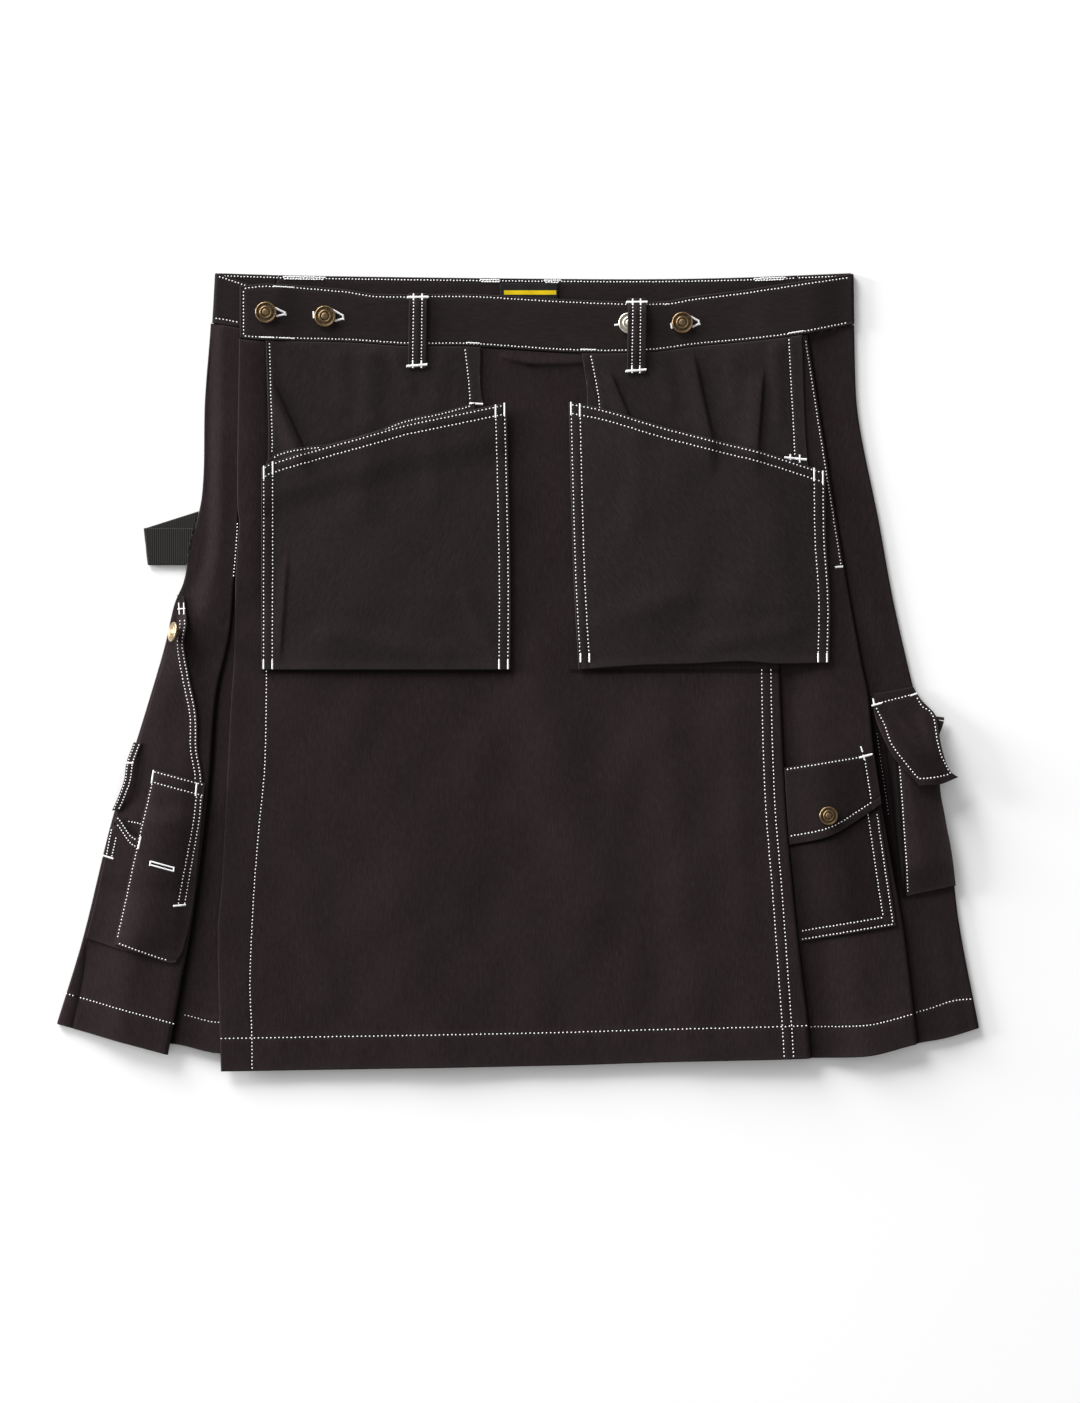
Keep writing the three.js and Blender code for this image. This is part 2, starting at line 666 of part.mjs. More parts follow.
// The ruler pocket stands a little off the panel in its middle, and its left side lies over the tool pocket.
function rulerPocket() {
  const left = line([-77, -289.4], [-90, -292.2], [-214, -320]);
  const right = line([-88, -248.3], [-102, -249.4], [-185, -257.6], [-221, -265.6], [-230, -271]);
  return patch({
    left,
    right,
    top: line([-290, -77], [-248, -88.2]),
    foot: line([-320, -216], [-277, -230.9], [-271, -230.6]),
    height: (x, y) => {
      const aside = toolPocketRight(y);
      const overTool = (ON_PANEL + 1.4 * ease(-165, -130, y)) * ease(aside + 13, aside + 2, x) * ease(-104, -122, y);
      const across = THREE.MathUtils.clamp((x - left(y)) / (right(y) - left(y)), 0, 1);
      const bulge = 2.2 * Math.sin(Math.PI * across) * ease(-228, -205, y);
      return leftPleatHeight(x, y) + overFacing(y) + ON_PANEL + facingCurl(x, y) + overTool + bulge;
    },
    across: 6,
    down: 9,
  });
}

// A narrow slack loop at the far left, above the tool pocket
function sideLoop() {
  const middle = line([-52, -300.8], [-59, -303], [-72, -307.5], [-86, -309.5], [-102, -315.5], [-114, -321.5]);
  return patch({
    left: (y) => middle(y) - 3.2,
    right: (y) => middle(y) + 3.2,
    top: () => -56,
    foot: () => -110,
    height: (x, y) => facingHeight(x, y) + ON_PANEL + 2.2 * ease(-56, -75, y) * ease(-110, -93, y),
    across: 2,
    down: 9,
  });
}

// Webbing tool loop: out from the left side, folded back on the slant

function webbingLoop() {
  const thick = 1.4;
  const low = thick / 2;
  const high = low + thick + GAP;
  const radius = (high - low) / 2;
  const slant = THREE.MathUtils.degToRad(17.7);
  const foot = 85;
  const rows = rowsDown(2, (t) => {
    const y = foot + WEBBING_WIDTH * (1 - t);
    const fold = -298 + 3.2 * t;
    const centre = fold + radius + thick / 2;
    const points = [];
    const rise = Math.tan(slant);
    let reach = 40;
    for (let i = 0; i < 5; i++) reach = outlineLeft(y + reach * rise) - 0.4 - centre;
    for (const share of [1, 0.5, 0]) {
      points.push(new THREE.Vector3(centre + share * reach, y + share * reach * rise, low));
    }
    for (let i = 1; i < 5; i++) {
      const angle = THREE.MathUtils.degToRad(mix(270, 90, i / 5));
      points.push(new THREE.Vector3(centre + radius * Math.cos(angle), y, (low + high) / 2 + radius * Math.sin(angle)));
    }
    const near = outlineLeft(y) - 0.35;
    for (const share of [0, 0.5, 1]) points.push(new THREE.Vector3(mix(centre, near, share), y, high));
    return points;
  });
  return wall(rows, thick);
}

// Label inside the back band, bare
function label() {
  return patch({
    left: () => -14,
    right: () => 32,
    top: () => 309.3,
    foot: () => 296,
    height: () => BAND + GAP + 0.5,
    across: 2,
    down: 2,
    thickness: 1,
  });
}

// Shank buttons

// A stamped cap with a raised rim and centre, on a short neck; the neck's foot is at z = 0
function shankButton(radius, neck) {
  const profile = [
    [0, 0], [2.6, 0], [2.6, neck], [radius - 0.8, neck], [radius, neck + 0.8], [radius - 0.7, neck + 1.9],
    [radius * 0.62, neck + 1.5], [radius * 0.36, neck + 2.2], [0, neck + 2.4],
  ];
  const lathe = new THREE.LatheGeometry(profile.map(([r, z]) => new THREE.Vector2(r, z)), 14);
  return lathe.rotateX(Math.PI / 2);
}

const NECK = 0.9;
const WAIST_BUTTONS = [
  { name: 'waist_button_left_outer', x: -200, y: 285.4 },
  { name: 'waist_button_left_inner', x: -153.2, y: 282.5 },
  { name: 'waist_button_right_inner', x: 88.4, y: 277.1 },
  { name: 'waist_button_right_outer', x: 130.8, y: 277.5 },
];
const SEAT = 0.3;

add('back_panel', backPanel(), cloth);
add('under_apron', underApron(), cloth);
add('left_pleat_panel', leftPleatPanel(), cloth);
add('right_side_panel', rightSidePanel(), cloth);
add('right_pleat_panel', rightPleatPanel(), cloth);
add('front_apron', frontApron(), cloth);
add('back_waistband', backWaistband(), cloth);
add('inner_waistband', innerWaistband(), cloth);
add('front_waistband', frontWaistband(), cloth);
add('belt_loop_left', beltLoop({ centre: -79.2, width: 14.5, top: 301, foot: 240.9, slack: 1.2 }), cloth);
add('belt_loop_right', beltLoop({ centre: 94.8, width: 15, top: 297, foot: 236.9, slack: 3.7 }), cloth);
add('left_pocket_backing', leftPocketBacking(), canvas);
add('left_pocket_lip', leftPocketLip(), canvas);
add('left_pocket_pouch', leftPouch(), canvas);
add('right_pocket_backing', rightPocketBacking(), canvas);
add('right_pocket_pouch', rightPouch(), canvas);
add('cargo_pocket', cargoPocket(), cloth);
add('cargo_flap', cargoFlap(), cloth);
add('side_pocket', sidePocket(), cloth);
add('side_flap', sideFlap(), cloth);
add('side_facing', sideFacing(), cloth);
add('tool_pocket', toolPocket(), cloth);
add('ruler_pocket', rulerPocket(), cloth);
add('side_loop', sideLoop(), cloth);
add('webbing_loop', webbingLoop(), webbing);
add('waistband_label', label(), woven);

for (const { name, x, y } of WAIST_BUTTONS) {
  add(name, shankButton(BUTTON_RADIUS, NECK), brass).position.set(x, y, frontBandHeight(x) + BAND / 2 + SEAT);
}
const flapButtonAt = new THREE.Vector2(246.2, -114);
add('cargo_flap_button', shankButton(FLAP_BUTTON_RADIUS, NECK), brass).position.set(
  flapButtonAt.x,
  flapButtonAt.y,
  cargoHeight(flapButtonAt.x, flapButtonAt.y) + ON_PANEL + CLOTH / 2 + SEAT,
);

// The knife button stands on its edge at the left side, with its cap turned outwards.
const KNIFE_NECK = 5;
const knifeButton = add('knife_button', shankButton(8, KNIFE_NECK), brass);
knifeButton.quaternion.setFromUnitVectors(
  new THREE.Vector3(0, 0, 1),
  new THREE.Vector3(-0.88, 0.1, 0.46).normalize(),
);
knifeButton.position.set(-268.35, 30.6, 11.4);

export default kilt;
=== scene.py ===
import math

import bpy
import numpy as np
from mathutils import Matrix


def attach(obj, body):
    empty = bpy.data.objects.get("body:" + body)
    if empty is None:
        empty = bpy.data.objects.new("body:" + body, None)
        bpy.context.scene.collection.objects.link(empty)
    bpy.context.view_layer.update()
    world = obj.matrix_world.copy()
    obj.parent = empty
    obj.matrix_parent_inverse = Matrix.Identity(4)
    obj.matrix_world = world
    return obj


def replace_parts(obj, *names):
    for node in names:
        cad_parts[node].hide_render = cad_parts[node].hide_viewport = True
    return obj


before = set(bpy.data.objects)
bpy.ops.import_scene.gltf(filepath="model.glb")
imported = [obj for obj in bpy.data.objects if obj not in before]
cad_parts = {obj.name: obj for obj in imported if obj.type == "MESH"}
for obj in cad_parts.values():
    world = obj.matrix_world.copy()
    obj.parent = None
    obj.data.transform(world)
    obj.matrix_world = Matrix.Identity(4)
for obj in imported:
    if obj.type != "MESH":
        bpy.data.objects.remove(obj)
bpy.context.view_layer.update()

# Sizes are in millimetres until a mesh is made. X runs across the garment and +Y towards its waist.


# The table it was photographed on, the light and the camera
# The table is plain white. Two very large soft lights stand low at the upper left and at the left, far
# enough away to be even, and white walls fill in the rest. The camera looks straight down from 2.6 m.
TABLE_SIZE = 8.0
TABLE_DROP = 0.0002
TABLE_WHITE = (0.93, 0.93, 0.93, 1)
LIGHTS = (
    # name, place, size in m, power in W
    ("upper softbox", (-5.4, 7.8, 2.7), 5.3, 1800),
    ("left softbox", (-8.6, 2.2, 1.3), 2.4, 1200),
)
FILL = 0.48
CAMERA_PLACE = (0.0176, -0.0235, 2.6386)
CAMERA_LENS = 85

table_half = TABLE_SIZE / 2
table_mesh = bpy.data.meshes.new("table")
table_mesh.from_pydata(
    [(-table_half, -table_half, -TABLE_DROP), (table_half, -table_half, -TABLE_DROP),
     (table_half, table_half, -TABLE_DROP), (-table_half, table_half, -TABLE_DROP)],
    [],
    [(0, 1, 2, 3)],
)
table = bpy.data.objects.new("table", table_mesh)
bpy.context.scene.collection.objects.link(table)
table_finish = bpy.data.materials.new("table white")
table_finish.use_nodes = True
table_shader = table_finish.node_tree.nodes["Principled BSDF"]
table_shader.inputs["Base Color"].default_value = TABLE_WHITE
table_shader.inputs["Roughness"].default_value = 1
table_shader.inputs["Specular IOR Level"].default_value = 0
table_mesh.materials.append(table_finish)

for name, place, size, power in LIGHTS:
    softbox_data = bpy.data.lights.new(name, "AREA")
    softbox_data.size = size
    softbox_data.energy = power
    softbox = bpy.data.objects.new(name, softbox_data)
    softbox.location = place
    softbox.rotation_euler = (-softbox.location).to_track_quat("-Z", "Y").to_euler()
    bpy.context.scene.collection.objects.link(softbox)

room = bpy.data.worlds.new("white room")
room.use_nodes = True
room.node_tree.nodes["Background"].inputs["Color"].default_value = (1, 1, 1, 1)
room.node_tree.nodes["Background"].inputs["Strength"].default_value = FILL
bpy.context.scene.world = room

camera_data = bpy.data.cameras.new("camera")
camera_data.lens = CAMERA_LENS
camera = bpy.data.objects.new("camera", camera_data)
camera.location = CAMERA_PLACE
bpy.context.scene.collection.objects.link(camera)
bpy.context.scene.camera = camera
bpy.context.scene.view_settings.view_transform = "Standard"


# Back panel
# One plain panel of black cotton twill, flat on the table between the side seams and hidden by the front.
# It keeps its CAD shape, and takes the twill that the other body panels are cut from.
class Value:
    """A shader socket that can be worked with like a number."""

    def __init__(self, tree, socket):
        self.tree = tree
        self.socket = socket

    def maths(self, operation, *parts):
        """One Math node on values and numbers"""
        node = self.tree.nodes.new("ShaderNodeMath")
        node.operation = operation
        for place, part in zip(node.inputs, parts):
            if isinstance(part, Value):
                self.tree.links.new(part.socket, place)
            else:
                place.default_value = part
        return Value(self.tree, node.outputs[0])

    def __add__(self, other):
        return self.maths("ADD", self, other)

    def __rsub__(self, other):
        return self.maths("SUBTRACT", other, self)

    def __mul__(self, other):
        return self.maths("MULTIPLY", self, other)

    __radd__ = __add__
    __rmul__ = __mul__


class Finish:
    """A procedural material: settings that are the same all over, and nodes for what varies."""

    def __init__(self, name, **settings):
        self.material = bpy.data.materials.new(name)
        self.material.use_nodes = True
        self.tree = self.material.node_tree
        self.shader = self.tree.nodes["Principled BSDF"]
        for name, value in settings.items():
            self.shader.inputs[name.replace("_", " ")].default_value = value

    def feed(self, place, value):
        """Links a value to a socket, or sets a number on it."""
        if isinstance(value, Value):
            self.tree.links.new(value.socket, place)
        else:
            place.default_value = value

    def node(self, kind, settings, inputs, output=0):
        """Any other node, from its type, its settings and what its sockets take"""
        node = self.tree.nodes.new(kind)
        for name, value in settings.items():
            setattr(node, name, value)
        for name, value in inputs.items():
            self.feed(node.inputs[name], value)
        return Value(self.tree, node.outputs[output])

    def blend(self, share, first, second):
        """One colour turning into another"""
        return self.node("ShaderNodeMix", {"data_type": "RGBA"}, {0: share, 6: first, 7: second}, 2)

    def spread(self, value, low, high):
        """Stretches the range from low to high over 0 to 1."""
        return self.node("ShaderNodeMapRange", {}, {"Value": value, "From Min": low, "From Max": high})

    def noise(self, place, scale, detail=2.0):
        """Even noise from 0 to 1, with that many spots to a metre"""
        return self.node("ShaderNodeTexNoise", {}, {"Vector": place, "Scale": scale, "Detail": detail})

    def bump(self, height, strength, distance):
        """Tilts the surface by the slope of a height."""
        inputs = {"Height": height, "Strength": strength, "Distance": distance}
        self.feed(self.shader.inputs["Normal"], self.node("ShaderNodeBump", {}, inputs))


def cloth_finish(name, deep, light, worn, turn=0.0, rib=0.0009, relief=0.35):
    """Cotton: slanting ribs, slubs and mottling, paler where it is worn, and painted near black where shade
    falls
    """
    finish = Finish(name, Specular_IOR_Level=0.03)
    place = finish.node("ShaderNodeTexCoord", {}, {}, 3)
    turned = finish.node("ShaderNodeMapping", {}, {"Vector": place, "Rotation": (0, 0, turn)})
    across = finish.node("ShaderNodeSeparateXYZ", {}, {"Vector": turned}, 0)
    along = finish.node("ShaderNodeSeparateXYZ", {}, {"Vector": turned}, 1)
    slant = (across + along * 0.6) * (2 * math.pi / rib)
    ribs = slant.maths("SINE", slant) * 0.5 + 0.5
    long_slubs = finish.node("ShaderNodeMapping", {}, {"Vector": turned, "Scale": (1, 0.16, 1)})
    slubs = finish.noise(long_slubs, 900, 1.5)
    grain = finish.noise(place, 1500, 1)
    patches = finish.spread(finish.noise(place, 17, 3), 0.36, 0.66)
    small_patches = finish.spread(finish.noise(turned, 95, 3), 0.3, 0.7)
    ground = finish.blend(patches * 0.7 + small_patches * 0.3, deep, light)
    threads = finish.spread(slubs * 0.35 + ribs * 0.25 + grain * 0.4, 0.40, 0.74)
    woven = finish.blend(threads * 0.6, ground, worn)
    rubbed_and_shaded = finish.node("ShaderNodeAttribute", {"attribute_name": "wear_and_painted_shade"}, {}, 2)
    faded = finish.blend(rubbed_and_shaded * 0.35, woven, worn)
    # Where the attribute is below 0 the colour turns towards near black: this is painted shade, not wear
    finish.feed(finish.shader.inputs["Base Color"], finish.blend(rubbed_and_shaded * -1, faded, PAINTED_SHADE_COLOUR))
    finish.feed(finish.shader.inputs["Roughness"], threads * 0.08 + 0.88)
    finish.bump(ribs * 0.5 + slubs * 0.6 + grain * 0.4, relief, 0.0002)
    return finish.material


# Near-black colour painted where shade falls: in gaps, creases and under pockets
PAINTED_SHADE_COLOUR = (0.0030, 0.0020, 0.0022, 1)
TWILL = ((0.0133, 0.0084, 0.0087, 1), (0.0164, 0.0111, 0.0114, 1), (0.0425, 0.0335, 0.0340, 1))
hidden_twill = cloth_finish("twill of the back", *TWILL)
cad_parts["back_panel"].data.materials.clear()
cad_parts["back_panel"].data.materials.append(hidden_twill)


# Under apron
# The inner end of the wrap, in the same twill, which the front apron covers. A strip of it shows at the left,
# beside the left pleat. Its inner fold is pressed, and its hem is turned up 26 mm and stitched.
CLOTH = 1.2
GAP = 0.3
LAYER = CLOTH + GAP
HEM_LAYER = 2.7
HIP_HEIGHT = 90
HEM_HEIGHT = -280
HEM_HALF_WIDTH = 367
HALF_LENGTH = 317.6
HEM_TURN = 26.3
FOLD_IN = 5.5
PLEAT_AT_WAIST = 6
PLEAT_AT_HEM = 30
UNDER_SEEN_TO = -212
UNDER_REACH = 168
MILLIMETRE = 0.001


def mix(first, second, share):
    """A value between two others"""
    return first + (second - first) * share


def painted_light_copy(cloth, share):
    """The same cloth painted darker or paler as a whole, to stand in for how light and shade fall on that
    piece
    """
    return [(*(share * part for part in colour[:3]), 1) for colour in cloth]


def ease(start, end, at):
    """0 at one place and 1 at the other, with soft ends; the places may be given in either order."""
    t = np.clip((at - start) / (end - start), 0, 1)
    return t * t * (3 - 2 * t)


def line(*places):
    """A smooth line through measured places, given as [along, across], and straight beyond its ends."""
    along, across = np.array(sorted(places), float).T
    before = np.append(0, np.arange(len(along) - 1))
    after = np.append(np.arange(1, len(along)), len(along) - 1)
    slope = (across[after] - across[before]) / (along[after] - along[before])

    def at(where):
        where = np.asarray(where, float)
        inside = np.clip(where, along[0], along[-1])
        i = np.clip(np.searchsorted(along, inside) - 1, 0, len(along) - 2)
        step = along[i + 1] - along[i]
        t = (inside - along[i]) / step
        keep = (1 + 2 * t) * (1 - t) ** 2
        turn = t * (1 - t) ** 2 * step * slope[i] + t * t * (t - 1) * step * slope[i + 1]
        beyond = where - inside
        straight = beyond * np.where(beyond < 0, slope[0], slope[-1])
        return keep * across[i] + (1 - keep) * across[i + 1] + turn + straight

    return at


def level(place):
    """A straight line at one place"""
    return lambda at: place + 0 * at


def inset(edge, amount):
    """A line beside another, that much higher or further right"""
    return lambda at: edge(at) + amount


def spots(points):
    """The x and the y of each point of a grid"""
    return points[:, :, 0], points[:, :, 1]


def stretch(points, start, values):
    """Values for one stretch of the columns of a piece, and 0 for the others"""
    whole = np.zeros(points.shape[:2])
    whole[:, start:start + values.shape[1]] = values
    return whole


def shares(marks, fine, coarse):
    """Weights of the key lines at each place between them; the places lie closest beside the lines."""
    marks = np.asarray(marks, float)
    way = np.linspace(marks[0], marks[-1], 4000)
    away = np.abs(way[:, None] - marks).min(axis=1)
    density = 1 / np.minimum(fine + 0.25 * away, coarse)
    count = np.append(0, np.cumsum(density[1:] * np.diff(way)))
    reached = np.interp(marks, way, count)
    whole = np.append(0, np.cumsum(np.maximum(np.round(np.diff(reached)), 1)))
    places = np.interp(np.arange(whole[-1] + 1), np.interp(count, reached, whole), way)
    return np.stack([np.interp(places, marks, weight) for weight in np.eye(len(marks))], axis=1)


class Rows:
    """Rows of points down a piece, between key lines that run across it."""

    def __init__(self, *lines, at, fine=1.0, coarse=4.8):
        self.lines = lines
        levels = np.array([float(one(at)) for one in lines])
        self.weights = shares(levels[0] - levels, fine, coarse)

    def y(self, x):
        """The height of each row where it is at x"""
        return sum(self.weights[:, [i]] * one(x) for i, one in enumerate(self.lines))

    def meet(self, edge):
        """Where an edge that runs down the piece crosses each row"""
        x = edge(self.y(np.zeros((len(self.weights), 1))))
        for _ in range(12):
            x = edge(self.y(x))
        return x

    def run(self, keys, height, fine=1.0, coarse=4.8):
        """Points across each row, between key lines that run down the piece"""
        keys = np.hstack(keys)
        weights = shares(np.append(0, np.cumsum(np.abs(np.diff(keys.mean(axis=0))))), fine, coarse)
        x = keys @ weights.T
        y = self.y(x)
        return np.stack([x, y, height(x, y) + 0 * x], axis=2)

    def turn(self, centre, z, radius, start, end, steps=7):
        """A part of a turn about a centre, from one angle to another, in degrees"""
        angle = np.radians(np.linspace(start, end, steps + 1)[1:-1])
        x = centre + radius * np.cos(angle)
        return np.stack([x, self.y(x), z + radius * np.sin(angle)], axis=2)


def unit(vectors):
    """Vectors of length 1 in the same directions"""
    return vectors / np.maximum(np.linalg.norm(vectors, axis=-1, keepdims=True), 1e-9)


def border(rows, columns):
    """Numbers of the points round the edge of a grid"""
    index = np.arange(rows * columns).reshape(rows, columns)
    return np.concatenate([index[0, :-1], index[:-1, -1], index[-1, :0:-1], index[:0:-1, 0]])


def wall(points, thickness, relief):
    """The closed wall of a piece about its middle surface, with a round edge; relief lifts its outer face."""
    rows, columns = points.shape[:2]
    reach = thickness / 2
    square = unit(np.cross(np.gradient(points, axis=0), np.gradient(points, axis=1))).reshape(-1, 3)
    middle = points.reshape(-1, 3).copy()
    rim = border(rows, columns)
    edge = middle[rim]
    outwards = unit(np.cross(square[rim], np.roll(edge, -1, axis=0) - np.roll(edge, 1, axis=0)))
    middle[rim] = edge - outwards * reach
    face = middle + square * (reach + relief.reshape(-1, 1))
    under = middle - square * reach
    rounds = [
        middle[rim] + reach * (outwards * math.cos(angle) + square[rim] * math.sin(angle))
        for angle in (math.pi / 4, 0, -math.pi / 4)
    ]
    count = rows * columns
    index = np.arange(count).reshape(rows, columns)
    grid = np.stack([index[:-1, :-1], index[1:, :-1], index[1:, 1:], index[:-1, 1:]], axis=2).reshape(-1, 4)
    faces = [grid, grid[:, ::-1] + count]
    ring = np.arange(len(rim))
    loops = [rim, *(2 * count + i * len(rim) + ring for i in range(3)), count + rim]
    for upper, lower in zip(loops[:-1], loops[1:]):
        faces.append(np.stack([upper, np.roll(upper, -1), np.roll(lower, -1), lower], axis=1))
    return np.concatenate([face, under, *rounds]), np.concatenate(faces)


def distance_in(points):
    """How far each point of a grid lies from its edges, over the cloth"""
    over = np.cumsum(np.linalg.norm(np.diff(points, axis=1, prepend=points[:, :1]), axis=2), axis=1)
    down = np.cumsum(np.linalg.norm(np.diff(points, axis=0, prepend=points[:1]), axis=2), axis=0)
    return np.minimum(np.minimum(over, over[:, -1:] - over), np.minimum(down, down[-1:] - down))


def new_object(name, points, faces, material):
    """A smooth mesh from millimetres"""
    mesh = bpy.data.meshes.new(name)
    mesh.from_pydata((points * MILLIMETRE).tolist(), [], faces)
    mesh.polygons.foreach_set("use_smooth", np.ones(len(mesh.polygons), bool))
    mesh.materials.append(material)
    made = bpy.data.objects.new(name, mesh)
    bpy.context.scene.collection.objects.link(made)
    return made


def cloth_piece(name, points, material, relief=0.0, thickness=CLOTH, painted_shade=0.0):
    """A cut piece of cloth; its attribute says where it is worn and, below 0, where shade is painted in
    darker.
    """
    relief = relief + np.zeros(points.shape[:2])
    corners, faces = wall(points, thickness, relief)
    piece = new_object(name, corners, faces.tolist(), material)
    worn = np.exp(-distance_in(points) / 2.0) * 0.8 + np.clip(-relief * 1.2, 0, 0.5)
    # The last term paints shade in: it takes away the wear there, and below 0 it darkens the colour
    worn = worn * np.clip(1 - 2 * painted_shade, 0, 1) - painted_shade
    on_face = worn.ravel()
    on_rim = on_face[border(*points.shape[:2])]
    wear_and_painted_shade = np.concatenate([on_face, on_face * 0, on_rim, on_rim, on_rim])
    piece.data.attributes.new("wear_and_painted_shade", "FLOAT", "POINT").data.foreach_set("value", wear_and_painted_shade)
    return piece


def sewn(x, y, down=(), across=()):
    """How far thread pulls the face in beside seams that run down the piece and across it"""
    pull = sum(np.exp(-(((x - seam(y)) / 1.2) ** 2)) for seam in down)
    pull = pull + sum(np.exp(-(((y - seam(x)) / 1.2) ** 2)) for seam in across)
    return -0.32 * np.minimum(pull, 1)


def hem_step(x, y, hem):
    """The turned-up hem makes the cloth double, with shallow ripples above the thread."""
    doubled = 0.4 * ease(hem(x) + HEM_TURN + 3, hem(x) + HEM_TURN + 0.8, y)
    beside = np.exp(-(((y - hem(x) - HEM_TURN + 5) / 8) ** 2))
    return doubled + 0.18 * beside * np.sin((x + 0.5 * y) / 2.6)


class Thread:
    """White topstitching: short round stitches, gathered into one mesh for each piece"""

    THICK = 0.51

    def __init__(self):
        self.middles = []
        self.ways = []
        self.lengths = []
        self.random = np.random.default_rng(5)

    def put(self, middles, ways, length):
        """Keeps stitches by their middles, their directions and one length."""
        self.middles.append(middles)
        self.ways.append(unit(ways))
        self.lengths.append(np.full(len(middles), float(length)))

    def run(self, path, surface, pitch=2.75, length=1.3):
        """Stitches one after another along a path"""
        reach = np.append(0, np.cumsum(np.linalg.norm(np.diff(path, axis=0), axis=1)))
        at = np.arange(pitch / 2, reach[-1], pitch)
        x, y = (np.interp(at, reach, path[:, i]) for i in (0, 1))
        ahead_x, ahead_y = (np.interp(at + 0.6, reach, path[:, i]) for i in (0, 1))
        back_x, back_y = (np.interp(at - 0.6, reach, path[:, i]) for i in (0, 1))
        middles = np.stack([x, y, surface(x, y)], axis=1)
        rise = surface(ahead_x, ahead_y) - surface(back_x, back_y)
        ways = np.stack([ahead_x - back_x, ahead_y - back_y, rise], axis=1)
        middles[:, :2] += self.random.normal(0, 0.08, (len(at), 2))
        ways[:, :2] += self.random.normal(0, 0.05, (len(at), 2))
        self.put(middles, ways, length)
        return self

    def bar(self, start, end, surface, wide=1.9, pitch=0.62):
        """A bar tack: stitches side by side across a short line"""
        start, end = np.array(start, float), np.array(end, float)
        way = unit(end - start)
        count = max(int(np.linalg.norm(end - start) / pitch), 2)
        spots = start + (end - start) * np.linspace(0, 1, count)[:, None]
        middles = np.column_stack([spots, surface(spots[:, 0], spots[:, 1]) + 0.12])
        sideways = np.array([-way[1], way[0]])
        ways = sideways + way * self.random.normal(0.25, 0.12, (count, 1))
        self.put(middles, np.column_stack([ways, np.zeros(count)]), wide)
        return self

    def build(self, name, material):
        """Each stitch is a small closed shape, thin at its ends, that dips into the cloth there."""
        middles = np.concatenate(self.middles)
        ways = np.concatenate(self.ways)
        lengths = np.concatenate(self.lengths)[:, None]
        aside = unit(np.cross((0, 0, 1), ways))
        up = np.cross(ways, aside)
        sides = np.radians(np.arange(6) * 60)
        along = np.repeat([-0.78, 0, 0.78], 6)
        girth = np.repeat([0.72, 1.0, 0.72], 6)
        along = np.concatenate([[-1], along, [1]])
        width = np.concatenate([[0], girth * np.tile(np.cos(sides), 3), [0]])
        height = np.concatenate([[0], girth * np.tile(np.sin(sides), 3), [0]])
        dip = -0.28 * along ** 2
        corners = (
            middles[:, None]
            + ways[:, None] * (lengths / 2 * along)[:, :, None]
            + aside[:, None] * (self.THICK * width)[:, None]
            + up[:, None] * (self.THICK * 0.6 * height + dip + 0.12)[:, None]
        )
        ring = np.arange(6)
        after = np.roll(ring, -1)
        ends = np.concatenate([
            np.stack([0 * ring, 1 + after, 1 + ring], axis=1),
            np.stack([0 * ring + 19, 13 + ring, 13 + after], axis=1),
        ])
        bands = np.concatenate([
            np.stack([1 + 6 * i + ring, 1 + 6 * i + after, 7 + 6 * i + after, 7 + 6 * i + ring], axis=1)
            for i in (0, 1)
        ])
        first = 20 * np.arange(len(middles))[:, None, None]
        faces = (ends + first).reshape(-1, 3).tolist() + (bands + first).reshape(-1, 4).tolist()
        made = new_object(name, corners.reshape(-1, 3), faces, material)
        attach(made, "root")
        return made


def down_path(edge, top, foot, aside=0.0):
    """A path down the piece, beside an edge"""
    y = np.linspace(top, foot, 90)
    return np.stack([edge(y) + aside, y], axis=1)


def across_path(edge, left, right, above=0.0):
    """A path across the piece, beside an edge"""
    x = np.linspace(left, right, 160)
    return np.stack([x, edge(x) + above], axis=1)


def on_face(height, relief=None, above=0.1):
    """Where thread lies: half the cloth above the middle surface, and a little above the face's relief"""
    if relief is None:
        return lambda x, y: height(x, y) + CLOTH / 2 + above
    return lambda x, y: height(x, y) + CLOTH / 2 + relief(x, y) + above


def on_hem(height, hem, sunk=0.25):
    """Where the thread of a hem lies, sunk a little into the doubled cloth"""
    return lambda x, y: height(x, y) + CLOTH / 2 + hem_step(x, y, hem) - sunk


def lay(piece, node):
    """Puts a finished piece of cloth in place of its CAD node."""
    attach(piece, "root")
    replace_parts(piece, node)


thread_finish = Finish("white thread", Roughness=0.7, Specular_IOR_Level=0.3, Sheen_Weight=0.1)
thread_place = thread_finish.node("ShaderNodeTexCoord", {}, {}, 3)
thread_fluff = thread_finish.noise(thread_place, 1400, 2)
thread_finish.feed(
    thread_finish.shader.inputs["Base Color"],
    thread_finish.blend(thread_fluff, (0.72, 0.71, 0.72, 1), (0.96, 0.95, 0.95, 1)),
)
thread_finish.bump(thread_fluff, 0.4, 0.0002)
thread_white = thread_finish.material

left_pleat_edge = line(
    [270, -220.5], [118, -222.2], [62, -226.5], [27, -230], [-18, -240], [-86, -245.5], [-126, -249.5],
    [-202, -259.4], [-253, -268.6], [-304, -277.7],
)
outline_left = line(
    [HALF_LENGTH, -241], [275, -243.5], [216, -248.7], [141, -251.5], [101, -260.6], [72, -266], [54, -273.4],
    [21, -281], [-22, -293.5], [-55, -303.6], [-119, -323.4], [-213, -346.5], [-280, -HEM_HALF_WIDTH],
)
outline_right = line(
    [HALF_LENGTH, 267.2], [224, 269], [191, 272.8], [122, 286.9], [57, 298.8], [-14, 315], [-58, 326.5],
    [-96, 336.2], [-142, 344.4], [-199, 351], [-283, HEM_HALF_WIDTH],
)
inner_band_foot = line(
    [-244, 277.6], [-221, 273.5], [-190, 266.5], [-133, 264], [-90, 261.2], [-38, 260.8], [49, 256],
    [107, 256.8], [150, 262],
)
inner_hem = line([-320, -292], [-270, -296.5], [-238, -303.4], [0, -305], [170, -300])

